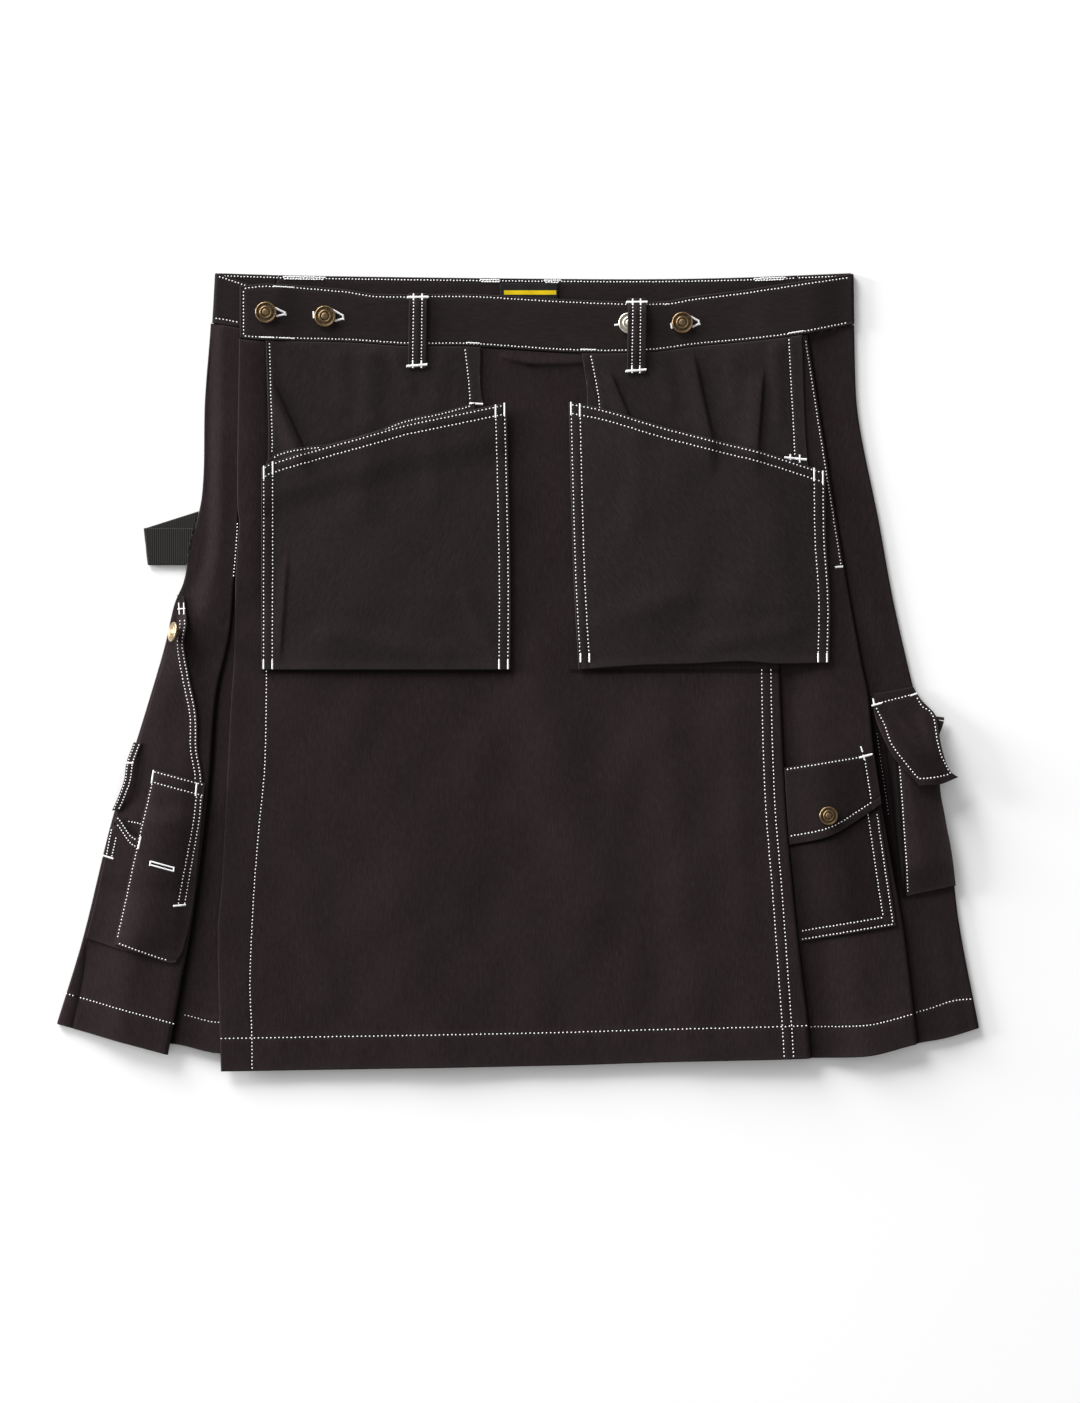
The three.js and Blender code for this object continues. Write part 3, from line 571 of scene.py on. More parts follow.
# The largest soft folds and creases: from x, y to x, y, then width and rise
SOFT_FOLDS = [
    (-165, -10, -70, -150, 30, 2.0),
    (-95, -190, -60, -312, 32, 1.8),
    (20, -15, 58, -180, 26, 2.2),
    (120, -50, 150, -300, 24, 2.4),
    (-10, 130, 10, 20, 22, 1.2),
    (-120, -20, -150, -120, 14, 0.5),
    (-30, -60, -45, -200, 16, 0.6),
    (90, -70, 70, -150, 13, 0.6),
    (-180, -120, -150, -260, 15, 0.7),
    (10, -220, 22, -300, 14, 0.7),
    (95, -180, 88, -290, 13, 0.6),
    (175, -60, 180, -200, 10, 0.5),
    (-6, 246, 46, 243, 5, 0.5),
]


def folds(x, y, places):
    """Rounded ridges along straight stretches"""
    total = 0.0 * x
    for from_x, from_y, to_x, to_y, width, rise in places:
        way_x, way_y = to_x - from_x, to_y - from_y
        t = np.clip(((x - from_x) * way_x + (y - from_y) * way_y) / (way_x ** 2 + way_y ** 2), 0, 1)
        away = np.hypot(x - from_x - t * way_x, y - from_y - t * way_y) / width
        total = total + rise * np.exp(-away * away)
    return total


def beside_crease(x, y, place):
    """How far a point lies to the right of a crease or below it, and how fully the crease is formed there"""
    from_x, from_y, to_x, to_y = place[:4]
    way_x, way_y = to_x - from_x, to_y - from_y
    reach = math.hypot(way_x, way_y)
    side = math.copysign(1, way_x + way_y)
    t = ((x - from_x) * way_x + (y - from_y) * way_y) / reach ** 2
    away = side * ((x - from_x) * way_y - (y - from_y) * way_x) / reach
    return away, ease(-0.08, 0.2, t) * ease(1.08, 0.8, t)


def creases(x, y, places, steep=5):
    """Sharp creases, wide on the left or upper side and steep on the other: from, to, width and rise"""
    total = 0.0 * x
    for place in places:
        away, full = beside_crease(x, y, place)
        width, rise = place[4:]
        total = total + rise * full * np.exp(-((away / np.where(away < 0, width, width / steep)) ** 2))
    return total


def painted_crease_shade(x, y, places, wide=0.9):
    """Painted shade along creases: 1 in a crease, falling to 0 beside it"""
    total = 0.0 * x
    for place in places:
        away, full = beside_crease(x, y, place)
        total = total + full * np.exp(-((away / wide) ** 2))
    return total


def ripple(x, y):
    """Slight waves that every layer shares, still beside the band and the side folds"""
    wave = 0.3 + 0.17 * np.sin(x / 17 + y / 41) * np.cos(y / 26 - x / 55) + 0.13 * np.sin(x / 9.5 - y / 14)
    from_left = ease(outline_left(y) + 2, outline_left(y) + 26, x)
    from_right = ease(outline_right(y) - 2, outline_right(y) - 26, x)
    return wave * from_left * from_right * ease(215, 170, y)


def soft_folds(x, y):
    """The large soft folds and the slight waves together"""
    return folds(x, y, SOFT_FOLDS) + ripple(x, y)


def pleat_depth(y):
    """How far a pleat doubles back under itself: little at the waist, full below the hips"""
    return mix(PLEAT_AT_WAIST, PLEAT_AT_HEM, ease(110, -60, y))


def pleat_foot(edge, y):
    """Where the panel under a pleat's folded edge has come down to the layer below"""
    return edge(y) - pleat_depth(y) - FOLD_IN - 1.5


def pitch(y):
    """From one layer of cloth to the next"""
    return mix(LAYER, HEM_LAYER, ease(HIP_HEIGHT, HEM_HEIGHT, y))


def layer(count, y):
    """The middle of the wall, that many layers up"""
    return CLOTH / 2 + count * pitch(y)


def inner_fold(rows, edge):
    """The tucked-under fold of a pleat, opening towards +X; gives where the cloth runs on from, too"""
    y = rows.y(edge)
    radius = pitch(y) / 2
    centre = edge + radius + CLOTH / 2
    start = rows.run([centre + 2, centre], lambda x, at: layer(2, at) + ripple(x, at), 1, 1)
    return centre, [start, rows.turn(centre, layer(1.5, y) + ripple(centre, y), radius, 90, 270)]


under_rows = Rows(inset(inner_band_foot, -0.8), inset(inner_hem, HEM_TURN), inner_hem, at=-200, coarse=6)
under_edge = under_rows.meet(lambda y: left_pleat_edge(y) - pleat_depth(y) - FOLD_IN)
under_centre, under_fold = inner_fold(under_rows, under_edge)


def under_height(x, y):
    """One layer up, with less of the folds than the apron above it has"""
    return layer(1, y) + 0.4 * folds(x, y, SOFT_FOLDS) + ripple(x, y)


under_keys = [
    under_centre,
    under_rows.meet(inset(left_pleat_edge, 0.8)),
    under_rows.meet(inset(left_pleat_edge, 3.4)),
    under_rows.meet(level(UNDER_SEEN_TO)),
    under_rows.meet(level(UNDER_REACH)),
]
under_flat = under_rows.run(under_keys, under_height, coarse=7)
under_points = np.concatenate([*under_fold, under_flat], axis=1)
under_x, under_y = spots(under_points)
UNDER_HEM_SEAM = HEM_TURN - 1.6
under_relief = stretch(
    under_points,
    under_fold[0].shape[1] + under_fold[1].shape[1],
    sewn(*spots(under_flat), across=[inset(inner_hem, UNDER_HEM_SEAM)])
    + hem_step(*spots(under_flat), inner_hem),
)
# Painted shade: the strip beside the left pleat's edge is painted near black where the pleat's shadow falls,
# and the whole piece is painted paler for how the light falls on it
gap_width = mix(0.6, 3.0, ease(80, -60, under_y))
painted_gap_shade = ease(gap_width + 1.3, gap_width - 0.5, np.abs(under_x - left_pleat_edge(under_y)))
under_twill = cloth_finish("twill of the under apron", *painted_light_copy(TWILL, 1.25), 0.02)
under_apron = cloth_piece(
    "under_apron_cloth", under_points, under_twill, under_relief, painted_shade=0.85 * painted_gap_shade
)
under_thread = Thread().run(
    across_path(inner_hem, -266, -228, UNDER_HEM_SEAM), on_hem(under_height, inner_hem)
).build("under_apron_stitches", thread_white)
lay(under_apron, "under_apron")


# Left pleat
# The panel from the back round the left side fold, in the same twill. It is pressed into a folded edge that
# stands over the under apron, and doubles back beneath itself. A short seam holds the fold below the hip.
inner_hem_left = line([-367, -280], [-326, -291.3], [-278, -304.2])
back_seam_left = line([HALF_LENGTH, -190], [-280, -345])
LEFT_CREASES = [
    (-262, -60, -279, -300, 7, 0.45),
    (-236, 190, -240, 60, 9, 0.7),
    (-300, -180, -318, -290, 10, 0.35),
]
LEFT_SHARP = [(-252.5, 53.5, -234.5, 39, 7, 0.8)]
far_inset = line([-170, 3.2], [-214, 3.6], [-242, 8.9], [-256, 10.7], [-281, 13])


def far_crease(y):
    """A sharp crease at the far left of the hem"""
    return outline_left(y) + far_inset(y)


def in_far_crease(x, y):
    """1 in that crease, and 0 a little beside it or above its top"""
    return np.exp(-(((x - far_crease(y)) / 1.3) ** 2)) * ease(-205, -226, y)


def pleat_slope(y):
    """Over how far a panel comes down from a pleat's folded edge"""
    return mix(13, 42, ease(110, -60, y))


def left_pleat_height(x, y):
    """One layer up at the side fold and three at the pleat's edge, with its creases"""
    foot = pleat_foot(left_pleat_edge, y)
    inside = ease(outline_left(y) + 2, outline_left(y) + 10, x)
    creased = folds(x, y, LEFT_CREASES) + creases(x, y, LEFT_SHARP) - 0.7 * in_far_crease(x, y)
    return layer(1 + 2 * ease(foot - pleat_slope(y), foot, x), y) + ripple(x, y) + inside * creased


def on_table(x, y):
    """Cloth that lies on the table"""
    return CLOTH / 2 + 0 * x


def left_pleat_under_height(x, y):
    """The part doubled back, two layers up"""
    return layer(2, y) + ripple(x, y) + folds(x, y, LEFT_CREASES) + creases(x, y, LEFT_SHARP)


left_rows = Rows(
    inset(inner_band_foot, -0.2), inset(inner_hem_left, HEM_TURN), inner_hem_left, at=-250, coarse=3.2
)
left_side = left_rows.meet(outline_left)
left_side_y = left_rows.y(left_side)
left_radius = pitch(left_side_y) / 2
left_centre = left_side + left_radius + CLOTH / 2
left_edge = left_rows.meet(left_pleat_edge)
left_edge_y = left_rows.y(left_edge)
left_edge_radius = pitch(left_edge_y) / 2
left_edge_centre = left_edge - left_edge_radius - CLOTH / 2
left_keys = [left_centre, left_rows.meet(far_crease), left_edge_centre]
left_face = left_rows.run(left_keys, left_pleat_height, 0.8, 2.6)
left_lift = left_pleat_height(left_edge_centre, left_edge_y) - layer(3, left_edge_y)
left_parts = [
    left_rows.run([left_rows.meet(inset(back_seam_left, -GAP)), left_centre], on_table, 2, 9),
    left_rows.turn(left_centre, layer(0.5, left_side_y), left_radius, 270, 90),
    left_face,
    left_rows.turn(left_edge_centre, layer(2.5, left_edge_y) + left_lift, left_edge_radius, 90, -90),
    left_rows.run(
        [left_edge_centre, left_rows.meet(lambda y: left_pleat_edge(y) - pleat_depth(y))],
        left_pleat_under_height, 1, 8,
    ),
]
left_points = np.concatenate(left_parts, axis=1)
left_start = left_parts[0].shape[1] + left_parts[1].shape[1]
left_relief = stretch(
    left_points, left_start,
    sewn(*spots(left_face), across=[inset(inner_hem_left, HEM_TURN)])
    + hem_step(*spots(left_face), inner_hem_left),
)
# Painted shade in the far crease at the hem
left_pleat = cloth_piece(
    "left_pleat_cloth", left_points, cloth_finish("twill of the left pleat", *TWILL, -0.12), left_relief,
    painted_shade=stretch(left_points, left_start, 0.85 * in_far_crease(*spots(left_face))),
)
left_thread = Thread()
for start, end in ((-363, -352.5), (-349, -272.5)):
    left_thread.run(
        across_path(inner_hem_left, start, end, HEM_TURN), on_hem(left_pleat_height, inner_hem_left)
    )
left_thread.run(down_path(left_pleat_edge, 119, 75, -0.7), on_face(left_pleat_height, above=-0.1))
left_stitches = left_thread.build("left_pleat_stitches", thread_white)
lay(
    left_pleat, "left_pleat_panel",
)


# Right side
# The panel from the back round the right side fold, in the same twill, tucked under the right pleat.
# Its hem is turned up and stitched like the others.
waist = line(
    [-244, 275], [-221, 265.5], [-192, 263.5], [-133, 262], [-90, 259.2], [-38, 258.8], [49, 253.6],
    [107, 254.4], [138, 258.4], [215, 266.3], [267, 276.5],
)
right_hem = line(
    [170, -306.6], [233, -307], [270, -306.1], [286, -304], [317, -295.7], [340, -291.4], [367, -283.3],
)
right_pleat_edge = line(
    [265, 230.7], [83, 259.5], [8, 273], [-18, 278.4], [-57, 282.3], [-99, 287.9], [-153, 297.2],
    [-207, 306.6], [-261, 313.3], [-296, 317.3],
)
back_seam_right = line([HALF_LENGTH, 222], [-283, 350])
side_hem_seam = line([314, -271.3], [328, -267.6], [343, -262.4], [352, -260.8], [362, -260.1])
GUSSET_SEAM = np.array([[285.4, -47.5], [294.8, -113]])
RIGHT_CREASES = [
    (330, -190, 347, -280, 6, 0.8),
    (262, 120, 292, 20, 9, 0.7),
]


def right_side_height(x, y):
    """One layer up, with creases that end before the side fold"""
    inside = ease(outline_right(y) - 2, outline_right(y) - 10, x)
    return layer(1, y) + ripple(x, y) + inside * folds(x, y, RIGHT_CREASES)


side_rows = Rows(inset(waist, -GAP), inset(right_hem, HEM_TURN), right_hem, at=300, coarse=5)
side_centre, side_fold = inner_fold(
    side_rows, side_rows.meet(lambda y: right_pleat_edge(y) - pleat_depth(y) - FOLD_IN)
)
side_edge = side_rows.meet(outline_right)
side_edge_y = side_rows.y(side_edge)
side_radius = pitch(side_edge_y) / 2
side_out = side_edge - side_radius - CLOTH / 2
side_beside = side_rows.meet(inset(right_pleat_edge, 1))
side_face = side_rows.run([side_centre, side_beside, side_out], right_side_height, fine=1.2)
side_points = np.concatenate([
    *side_fold,
    side_face,
    side_rows.turn(side_out, layer(0.5, side_edge_y), side_radius, 90, -90),
    side_rows.run([side_out, side_rows.meet(inset(back_seam_right, GAP))], on_table, 2, 9),
], axis=1)
side_start = side_fold[0].shape[1] + side_fold[1].shape[1]
side_relief = stretch(
    side_points, side_start,
    sewn(*spots(side_face), across=[side_hem_seam]) + hem_step(*spots(side_face), right_hem),
)
side_x, side_y = spots(side_points)
# Painted shade in the gap between the right pleat's edge and the side pocket, widest beside the pocket
gap_width = 1.6 + 9 * ease(-24, -60, side_y) * ease(-190, -150, side_y)
painted_gap_shade = np.exp(-(((side_x - right_pleat_edge(side_y)) / gap_width) ** 2))
painted_gap_shade[:, side_start + side_face.shape[1]:] = 0
right_side = cloth_piece(
    "right_side_cloth", side_points, cloth_finish("twill of the right side", *TWILL, 0.13), side_relief,
    painted_shade=0.85 * painted_gap_shade,
)
side_thread = Thread().run(across_path(side_hem_seam, 316, 362), on_hem(right_side_height, right_hem))
side_thread.run(GUSSET_SEAM, on_face(right_side_height, above=-0.3), 2.8, 1.1)
side_stitches = side_thread.build("right_side_stitches", thread_white)
lay(right_side, "right_side_panel")


# Right pleat
# Folded over the right side and tucked under the front apron, in the same twill. A row of stitches near its
# folded edge holds it from the waist to a bar tack below the pocket's corner.
apron_pleat_edge = line(
    [262, 204.4], [3, 207.9], [-45, 209.8], [-113, 213.2], [-166, 217.9], [-220, 223.3], [-274, 229.9],
    [-307, 232.7],
)
held_fold = inset(right_pleat_edge, -2.3)
PLEAT_HEM_SEAM = HEM_TURN - 1.4


def right_pleat_height(x, y):
    """One layer up beneath the apron and three at the pleat's folded edge"""
    foot = pleat_foot(right_pleat_edge, y)
    return layer(1 + 2 * ease(foot - pleat_slope(y), foot, x), y) + ripple(x, y)


pleat_rows = Rows(inset(waist, -GAP), inset(right_hem, HEM_TURN), right_hem, at=270, coarse=5)
pleat_centre, pleat_fold_in = inner_fold(
    pleat_rows, pleat_rows.meet(lambda y: apron_pleat_edge(y) - pleat_depth(y) - FOLD_IN)
)
pleat_edge = pleat_rows.meet(right_pleat_edge)
pleat_edge_y = pleat_rows.y(pleat_edge)
pleat_radius = pitch(pleat_edge_y) / 2
pleat_out = pleat_edge - pleat_radius - CLOTH / 2
pleat_beside = pleat_rows.meet(inset(apron_pleat_edge, 0.8))
pleat_face = pleat_rows.run([pleat_centre, pleat_beside, pleat_out], right_pleat_height, fine=0.8)
pleat_level = layer(2.5, pleat_edge_y) + ripple(pleat_out, pleat_edge_y)
pleat_points = np.concatenate([
    *pleat_fold_in,
    pleat_face,
    pleat_rows.turn(pleat_out, pleat_level, pleat_radius, 90, -90),
    pleat_rows.run(
        [pleat_out, pleat_rows.meet(lambda y: right_pleat_edge(y) - pleat_depth(y))],
        lambda x, y: layer(2, y) + ripple(x, y), 1, 8,
    ),
], axis=1)
pleat_relief = stretch(
    pleat_points,
    pleat_fold_in[0].shape[1] + pleat_fold_in[1].shape[1],
    sewn(*spots(pleat_face), across=[inset(right_hem, PLEAT_HEM_SEAM)])
    + hem_step(*spots(pleat_face), right_hem),
)
pleat_x, pleat_y = spots(pleat_points)
# A thin line of painted shade beside the apron's pleat edge
painted_gap_shade = ease(1.8, 0.4, np.abs(pleat_x - apron_pleat_edge(pleat_y)))
right_pleat = cloth_piece(
    "right_pleat_cloth", pleat_points, cloth_finish("twill of the right pleat", *TWILL, 0.07), pleat_relief,
    painted_shade=0.8 * painted_gap_shade,
)
on_right_pleat = on_face(right_pleat_height, above=-0.1)
pleat_thread = Thread()
pleat_thread.run(across_path(right_hem, 232, 313, PLEAT_HEM_SEAM), on_hem(right_pleat_height, right_hem))
pleat_thread.run(down_path(held_fold, 264, 84), on_right_pleat)
pleat_thread.bar((252.6, 83.3), (258, 83.7), on_right_pleat)
pleat_thread.bar((272.6, -59.6), (273.8, -63.4), on_right_pleat, 1.3)
pleat_stitches = pleat_thread.build("right_pleat_stitches", thread_white)
lay(
    right_pleat, "right_pleat_panel",
)


# Front apron
# The widest panel, in the same twill. Its left edge is free and faced, with one row of stitches; at the right
# it is pressed into a pleat beside a flat-felled seam with two rows. The hem is turned up 26 mm.
apron_left_edge = line(
    [262, -221.6], [150, -223.1], [130, -222.8], [119, -221.6], [82, -224.1], [6, -226], [-22, -228],
    [-102, -232], [-165, -235.2], [-207, -238.4], [-317, -236],
)
apron_hem = line([-238, -HALF_LENGTH], [-111, -315.5], [34, -312.8], [125, -310], [206, -308], [233, -307])
facing_line = line(
    [262, -199], [0, -199.8], [-72, -201], [-126, -205.8], [-180, -210], [-247, -212.7], [-287, -211.3],
    [-316, -211.1],
)
felled_line = line([262, 191], [4, 193.7], [-99, 196.5], [-180, 202.8], [-282, 210], [-306, 211.5])
felled_edge = inset(felled_line, 7.4)
CREASE_BELOW_BAND = 243.6
BELOW_POUCHES = 0.6
APRON_CREASES = [(-14, 249, 14, CREASE_BELOW_BAND, 7, 0.9), (6, 243.8, 58, 245.4, 8, 0.9)]


def band_rise(x, y):
    """The front lifts a little towards the thick waistband."""
    return 0.6 * ease(waist(x) - 40, waist(x) - 8, y)


def apron_height(x, y):
    """Two layers up, three over its own pleat, and higher where the left pleat's edge lies beneath"""
    foot = pleat_foot(apron_pleat_edge, y)
    beside_left_pleat = 1.6 * ease(-188, -214, x) * ease(40, 75, y)
    layers = 2 + ease(foot - 45, foot, x) + beside_left_pleat
    return layer(layers, y) + soft_folds(x, y) + band_rise(x, y) + creases(x, y, APRON_CREASES)


def apron_relief(x, y):
    """The felled seam is a little thicker, and so is the facing at the left edge."""
    from_left = ease(felled_line(y) - 1.5, felled_line(y) - 0.5, x)
    from_right = ease(felled_edge(y) + 1.5, felled_edge(y) + 0.5, x)
    faced = 0.2 * ease(facing_line(y) + 2.5, facing_line(y) + 1, x)
    seams = sewn(x, y, [felled_line, felled_edge, facing_line], [inset(apron_hem, HEM_TURN)])
    return 0.25 * from_left * from_right + faced + seams + hem_step(x, y, apron_hem)


apron_rows = Rows(
    inset(waist, -2 * GAP), level(CREASE_BELOW_BAND), level(BELOW_POUCHES), inset(apron_hem, HEM_TURN),
    apron_hem, at=0, coarse=3.6,
)
apron_edge = apron_rows.meet(apron_pleat_edge)
apron_edge_y = apron_rows.y(apron_edge)
apron_radius = pitch(apron_edge_y) / 2
apron_out = apron_edge - apron_radius - CLOTH / 2
apron_keys = [apron_rows.meet(edge) for edge in (apron_left_edge, facing_line, felled_line, felled_edge)]
apron_face = apron_rows.run([*apron_keys, apron_out], apron_height, coarse=3.6)
apron_points = np.concatenate([
    apron_face,
    apron_rows.turn(apron_out, apron_height(apron_out, apron_edge_y) - apron_radius, apron_radius, 90, -90),
    apron_rows.run(
        [apron_out, apron_rows.meet(lambda y: apron_pleat_edge(y) - pleat_depth(y))],
        lambda x, y: layer(2, y) + soft_folds(x, y) + band_rise(x, y), 1, 8,
    ),
], axis=1)
apron_x, apron_y = spots(apron_points)
# Painted shade in the creases below the band and in a strip under the pouches' feet
beneath_left = ease(-205, -203, apron_x) * ease(-3, -5, apron_x)
beneath_right = apron_x > 42
painted_shade_below_pouches = ease(2.6, 0.8, np.abs(apron_y - BELOW_POUCHES)) * (beneath_left + beneath_right)
apron = cloth_piece(
    "front_apron_cloth", apron_points, cloth_finish("twill of the front apron", *TWILL),
    stretch(apron_points, 0, apron_relief(*spots(apron_face))),
    painted_shade=0.6 * painted_crease_shade(apron_x, apron_y, APRON_CREASES, 1.1) + 0.6 * painted_shade_below_pouches,
)
on_apron = on_face(apron_height, apron_relief)
apron_thread = Thread()
apron_thread.run(down_path(facing_line, 2, -316), on_apron, 2.87)
apron_thread.run(down_path(felled_line, 3, -306), on_apron, 3.07)
apron_thread.run(down_path(felled_edge, 3, -306), on_apron, 3.07)
apron_thread.run(across_path(apron_hem, -237, 231, HEM_TURN), on_apron, 3.27)
apron_stitches = apron_thread.build("front_apron_stitches", thread_white)
lay(
    apron, "front_apron",
)


# Back waistband
# One long strip of doubled twill, sewn to the top of the panels and edged with white stitches. Here it is the
# stretch behind, which shows above the front band. The thread doubles where the seams were started again.
BAND = 1.8
BAND_HEIGHT = 40
back_top = line([-241, HALF_LENGTH], [-173, 315.6], [63, 312.8], [161, 313.6], [267, HALF_LENGTH])
back_line = inset(back_top, -2.2)
BAND_BASE = BAND / 2
BAND_TWILL = ((0.0130, 0.0098, 0.0094, 1), (0.0155, 0.0121, 0.0117, 1), (0.0360, 0.0285, 0.0290, 1))
band_twill = cloth_finish("twill of the waistband", *BAND_TWILL, math.pi / 2)


def band_on_table(x, y):
    """The middle of the doubled band where it lies on the table"""
    return BAND_BASE + 0 * x


def back_face(x, y):
    """Where thread lies on that stretch"""
    return BAND + 0 * x + 0.12


def over_back_face(x, y):
    """Where a second row of thread lies, over the first"""
    return back_face(x, y) + 0.25


back_rows = Rows(back_top, back_line, inset(back_top, -BAND_HEIGHT), at=0, fine=0.8, coarse=5)
back_points = back_rows.run(
    [back_rows.meet(back_seam_left), back_rows.meet(back_seam_right)], band_on_table, 2, 3.5
)
back_band = cloth_piece(
    "back_waistband_cloth", back_points, band_twill, sewn(*spots(back_points), across=[back_line]), BAND
)
back_thread = Thread()
back_thread.run(across_path(back_line, -190, 222), back_face, 2.6)
for start, end in ((-187, -153), (-30, -14), (21, 34), (188, 213)):
    back_thread.run(across_path(back_line, start, end, 0.9), over_back_face, 1.7, 2.2)
    back_thread.run(across_path(back_line, start + 1, end - 1, -0.8), over_back_face, 2.1, 2.2)
back_stitches = back_thread.build("back_waistband_stitches", thread_white)
lay(back_band, "back_waistband")


# Inner waistband
# The inner end of the strip. It runs on from behind, round the left fold and beneath the front band's tab.
# Only its left end shows, and above it a wedge of the stretch behind.
inner_band_top = line([-241, HALF_LENGTH], [-210, 307.7], [-190, 304], [-110, 297.5], [0, 295], [150, 291.5])
inner_upper_line = inset(inner_band_top, -2.2)
inner_lower_line = inset(inner_band_foot, 4.2)
INNER_BAND_REACH = 148


def inner_band_height(x, y):
    """The middle of the band, higher over the side fold than beneath the front band"""
    return mix(3.0, 4.8, ease(-198, -222, x))


def on_inner_band(x, y):
    """Where thread lies on it"""
    return inner_band_height(x, y) + BAND / 2 - 0.2


inner_rows = Rows(
    inner_band_top, inner_upper_line, inner_lower_line, inner_band_foot, at=-200, fine=0.8, coarse=4
)
inner_behind = Rows(back_top, back_line, inner_lower_line, inner_band_foot, at=-200)
inner_behind.weights = inner_rows.weights
inner_side = inner_rows.meet(outline_left)
inner_radius = (inner_band_height(inner_side, 0) - BAND_BASE) / 2
inner_centre = inner_side + inner_radius + BAND / 2
inner_keys = [inner_centre, inner_rows.meet(level(INNER_BAND_REACH))]
inner_face = inner_rows.run(inner_keys, inner_band_height, 1.2, 6)
inner_points = np.concatenate([
    inner_behind.run([inner_behind.meet(inset(back_seam_left, -GAP)), inner_centre], band_on_table, 2, 4),
    inner_rows.turn(inner_centre, BAND_BASE + inner_radius, inner_radius, 270, 90, 10),
    inner_face,
], axis=1)
inner_relief = stretch(
    inner_points,
    inner_points.shape[1] - inner_face.shape[1],
    sewn(*spots(inner_face), across=[inner_upper_line, inner_lower_line]),
)
inner_band = cloth_piece("inner_waistband_cloth", inner_points, band_twill, inner_relief, BAND)
inner_thread = Thread()
inner_thread.run(across_path(inner_upper_line, -238, -205), on_inner_band, 2.6)
inner_thread.run(across_path(inner_lower_line, -241, -222), on_inner_band)
inner_thread.run(across_path(back_line, -237, -190.5), back_face, 2.6)
inner_stitches = inner_thread.build("inner_waistband_stitches", thread_white)
lay(inner_band, "inner_waistband")


# Front waistband
# The outer end of the strip: from the square tab at the left, across the front, to the right side fold.
# It is edged with one row of stitches, doubled where they were started again, and buttoned in four places.
front_band_top = line(
    [-221, 306.5], [-198, 308.5], [-140, 304.5], [-111, 300.5], [-38, 300.5], [41, 296.1], [114, 294.5],
    [138, 298.5], [183, 304.1], [267, HALF_LENGTH - 0.6],
)
TAB_END = -221
BAND_END = 262
band_upper_line = inset(front_band_top, -2.3)
band_lower_line = inset(waist, 2.2)
tab_line = level(TAB_END + 3.2)
BAND_CREASES = [(121, 290, 128, 277, 2.2, -0.5), (110, 293, 133, 291, 3, 0.35), (-60, 262, 60, 257, 7, 0.3)]
# Each buttonhole has two long sides and an end; then come three loose tacks
BAND_TACKS = (
    ((-192.8, 289.1), (-185.2, 285.4)), ((-191.6, 282.6), (-185.2, 284)), ((-185, 285.6), (-184.4, 283.4)),
    ((-147.4, 288), (-139.2, 283.4)), ((-145.2, 279), (-139.2, 280.6)), ((-139, 283.4), (-138.6, 280)),
    ((136.2, 283), (143.8, 278.9)), ((138.8, 274.2), (143.8, 276.6)), ((143.6, 278.9), (144.4, 276)),
    ((77.2, 275.6), (80.6, 276)), ((-162.3, 286), (-162, 281.4)), ((121.9, 276.8), (122.5, 273.2)),
)


def band_height(x):
    """The middle of the band, over what lies beneath it and down to the side fold"""
    over_left_pleat = 1.7 * ease(-172, -192, x)
    over_right_pleats = 1.3 * ease(170, 200, x)
    to_side_fold = 2.8 * ease(232, 262, x)
    return 5.1 + over_left_pleat + over_right_pleats - to_side_fold


def band_relief(x, y):
    """Thread pulls the band in along its edges, and it is creased beside a button."""
    return sewn(x, y, [tab_line], [band_upper_line, band_lower_line]) + folds(x, y, BAND_CREASES)


def on_band(x, y):
    """Where thread lies on the band"""
    return band_height(x) + BAND / 2 + band_relief(x, y) + 0.1


def over_band_thread(x, y):
    """Where a second row of thread lies, over the first"""
    return on_band(x, y) + 0.2


band_rows = Rows(front_band_top, band_upper_line, band_lower_line, waist, at=0, fine=0.8, coarse=3.5)
band_behind = Rows(back_top, back_line, band_lower_line, waist, at=0)
band_behind.weights = band_rows.weights
band_side = band_rows.meet(outline_right)
band_radius = (band_height(band_side - BAND) - BAND_BASE) / 2
band_centre = band_side - band_radius - BAND / 2
band_face = band_rows.run(
    [band_rows.meet(level(TAB_END)), band_rows.meet(tab_line), band_centre],
    lambda x, y: band_height(x), 0.9, 3.2,
)
band_points = np.concatenate([
    band_face,
    band_rows.turn(band_centre, BAND_BASE + band_radius, band_radius, 90, -90, 10),
    band_behind.run([band_centre, band_behind.meet(inset(back_seam_right, GAP))], band_on_table, 2, 4),
], axis=1)
band_bumps = stretch(band_points, 0, band_relief(*spots(band_face)))
front_band = cloth_piece("front_waistband_cloth", band_points, band_twill, band_bumps, BAND)
band_thread = Thread()
band_thread.run(across_path(band_upper_line, TAB_END + 3.5, 120), on_band)
band_thread.run(across_path(band_upper_line, 116, BAND_END, -0.6), on_band)
band_thread.run(across_path(band_lower_line, TAB_END + 3.5, BAND_END), on_band)
band_thread.run(down_path(tab_line, 303, 268.5), on_band)
band_thread.run(across_path(band_upper_line, -194, -177, 0.2), over_band_thread, 1.5, 2.2)
band_thread.run(across_path(band_lower_line, -204, -193.5, -0.2), over_band_thread, 1.5, 2.2)
band_thread.run(across_path(band_lower_line, -189.3, -176.7, -0.2), over_band_thread, 1.5, 2.2)
band_thread.run(across_path(back_line, 223, 263), back_face, 2.6)
for start, end in ((-40.8, -30.6), (50, 62.4), (215, 226.5)):
    band_thread.run(across_path(band_lower_line, start, end, 0.5), over_band_thread, 1.5, 2.2)
for start, end in BAND_TACKS:
    band_thread.bar(start, end, on_band, 1.7, 0.5)
band_stitches = band_thread.build("front_waistband_stitches", thread_white)
lay(front_band, "front_waistband")


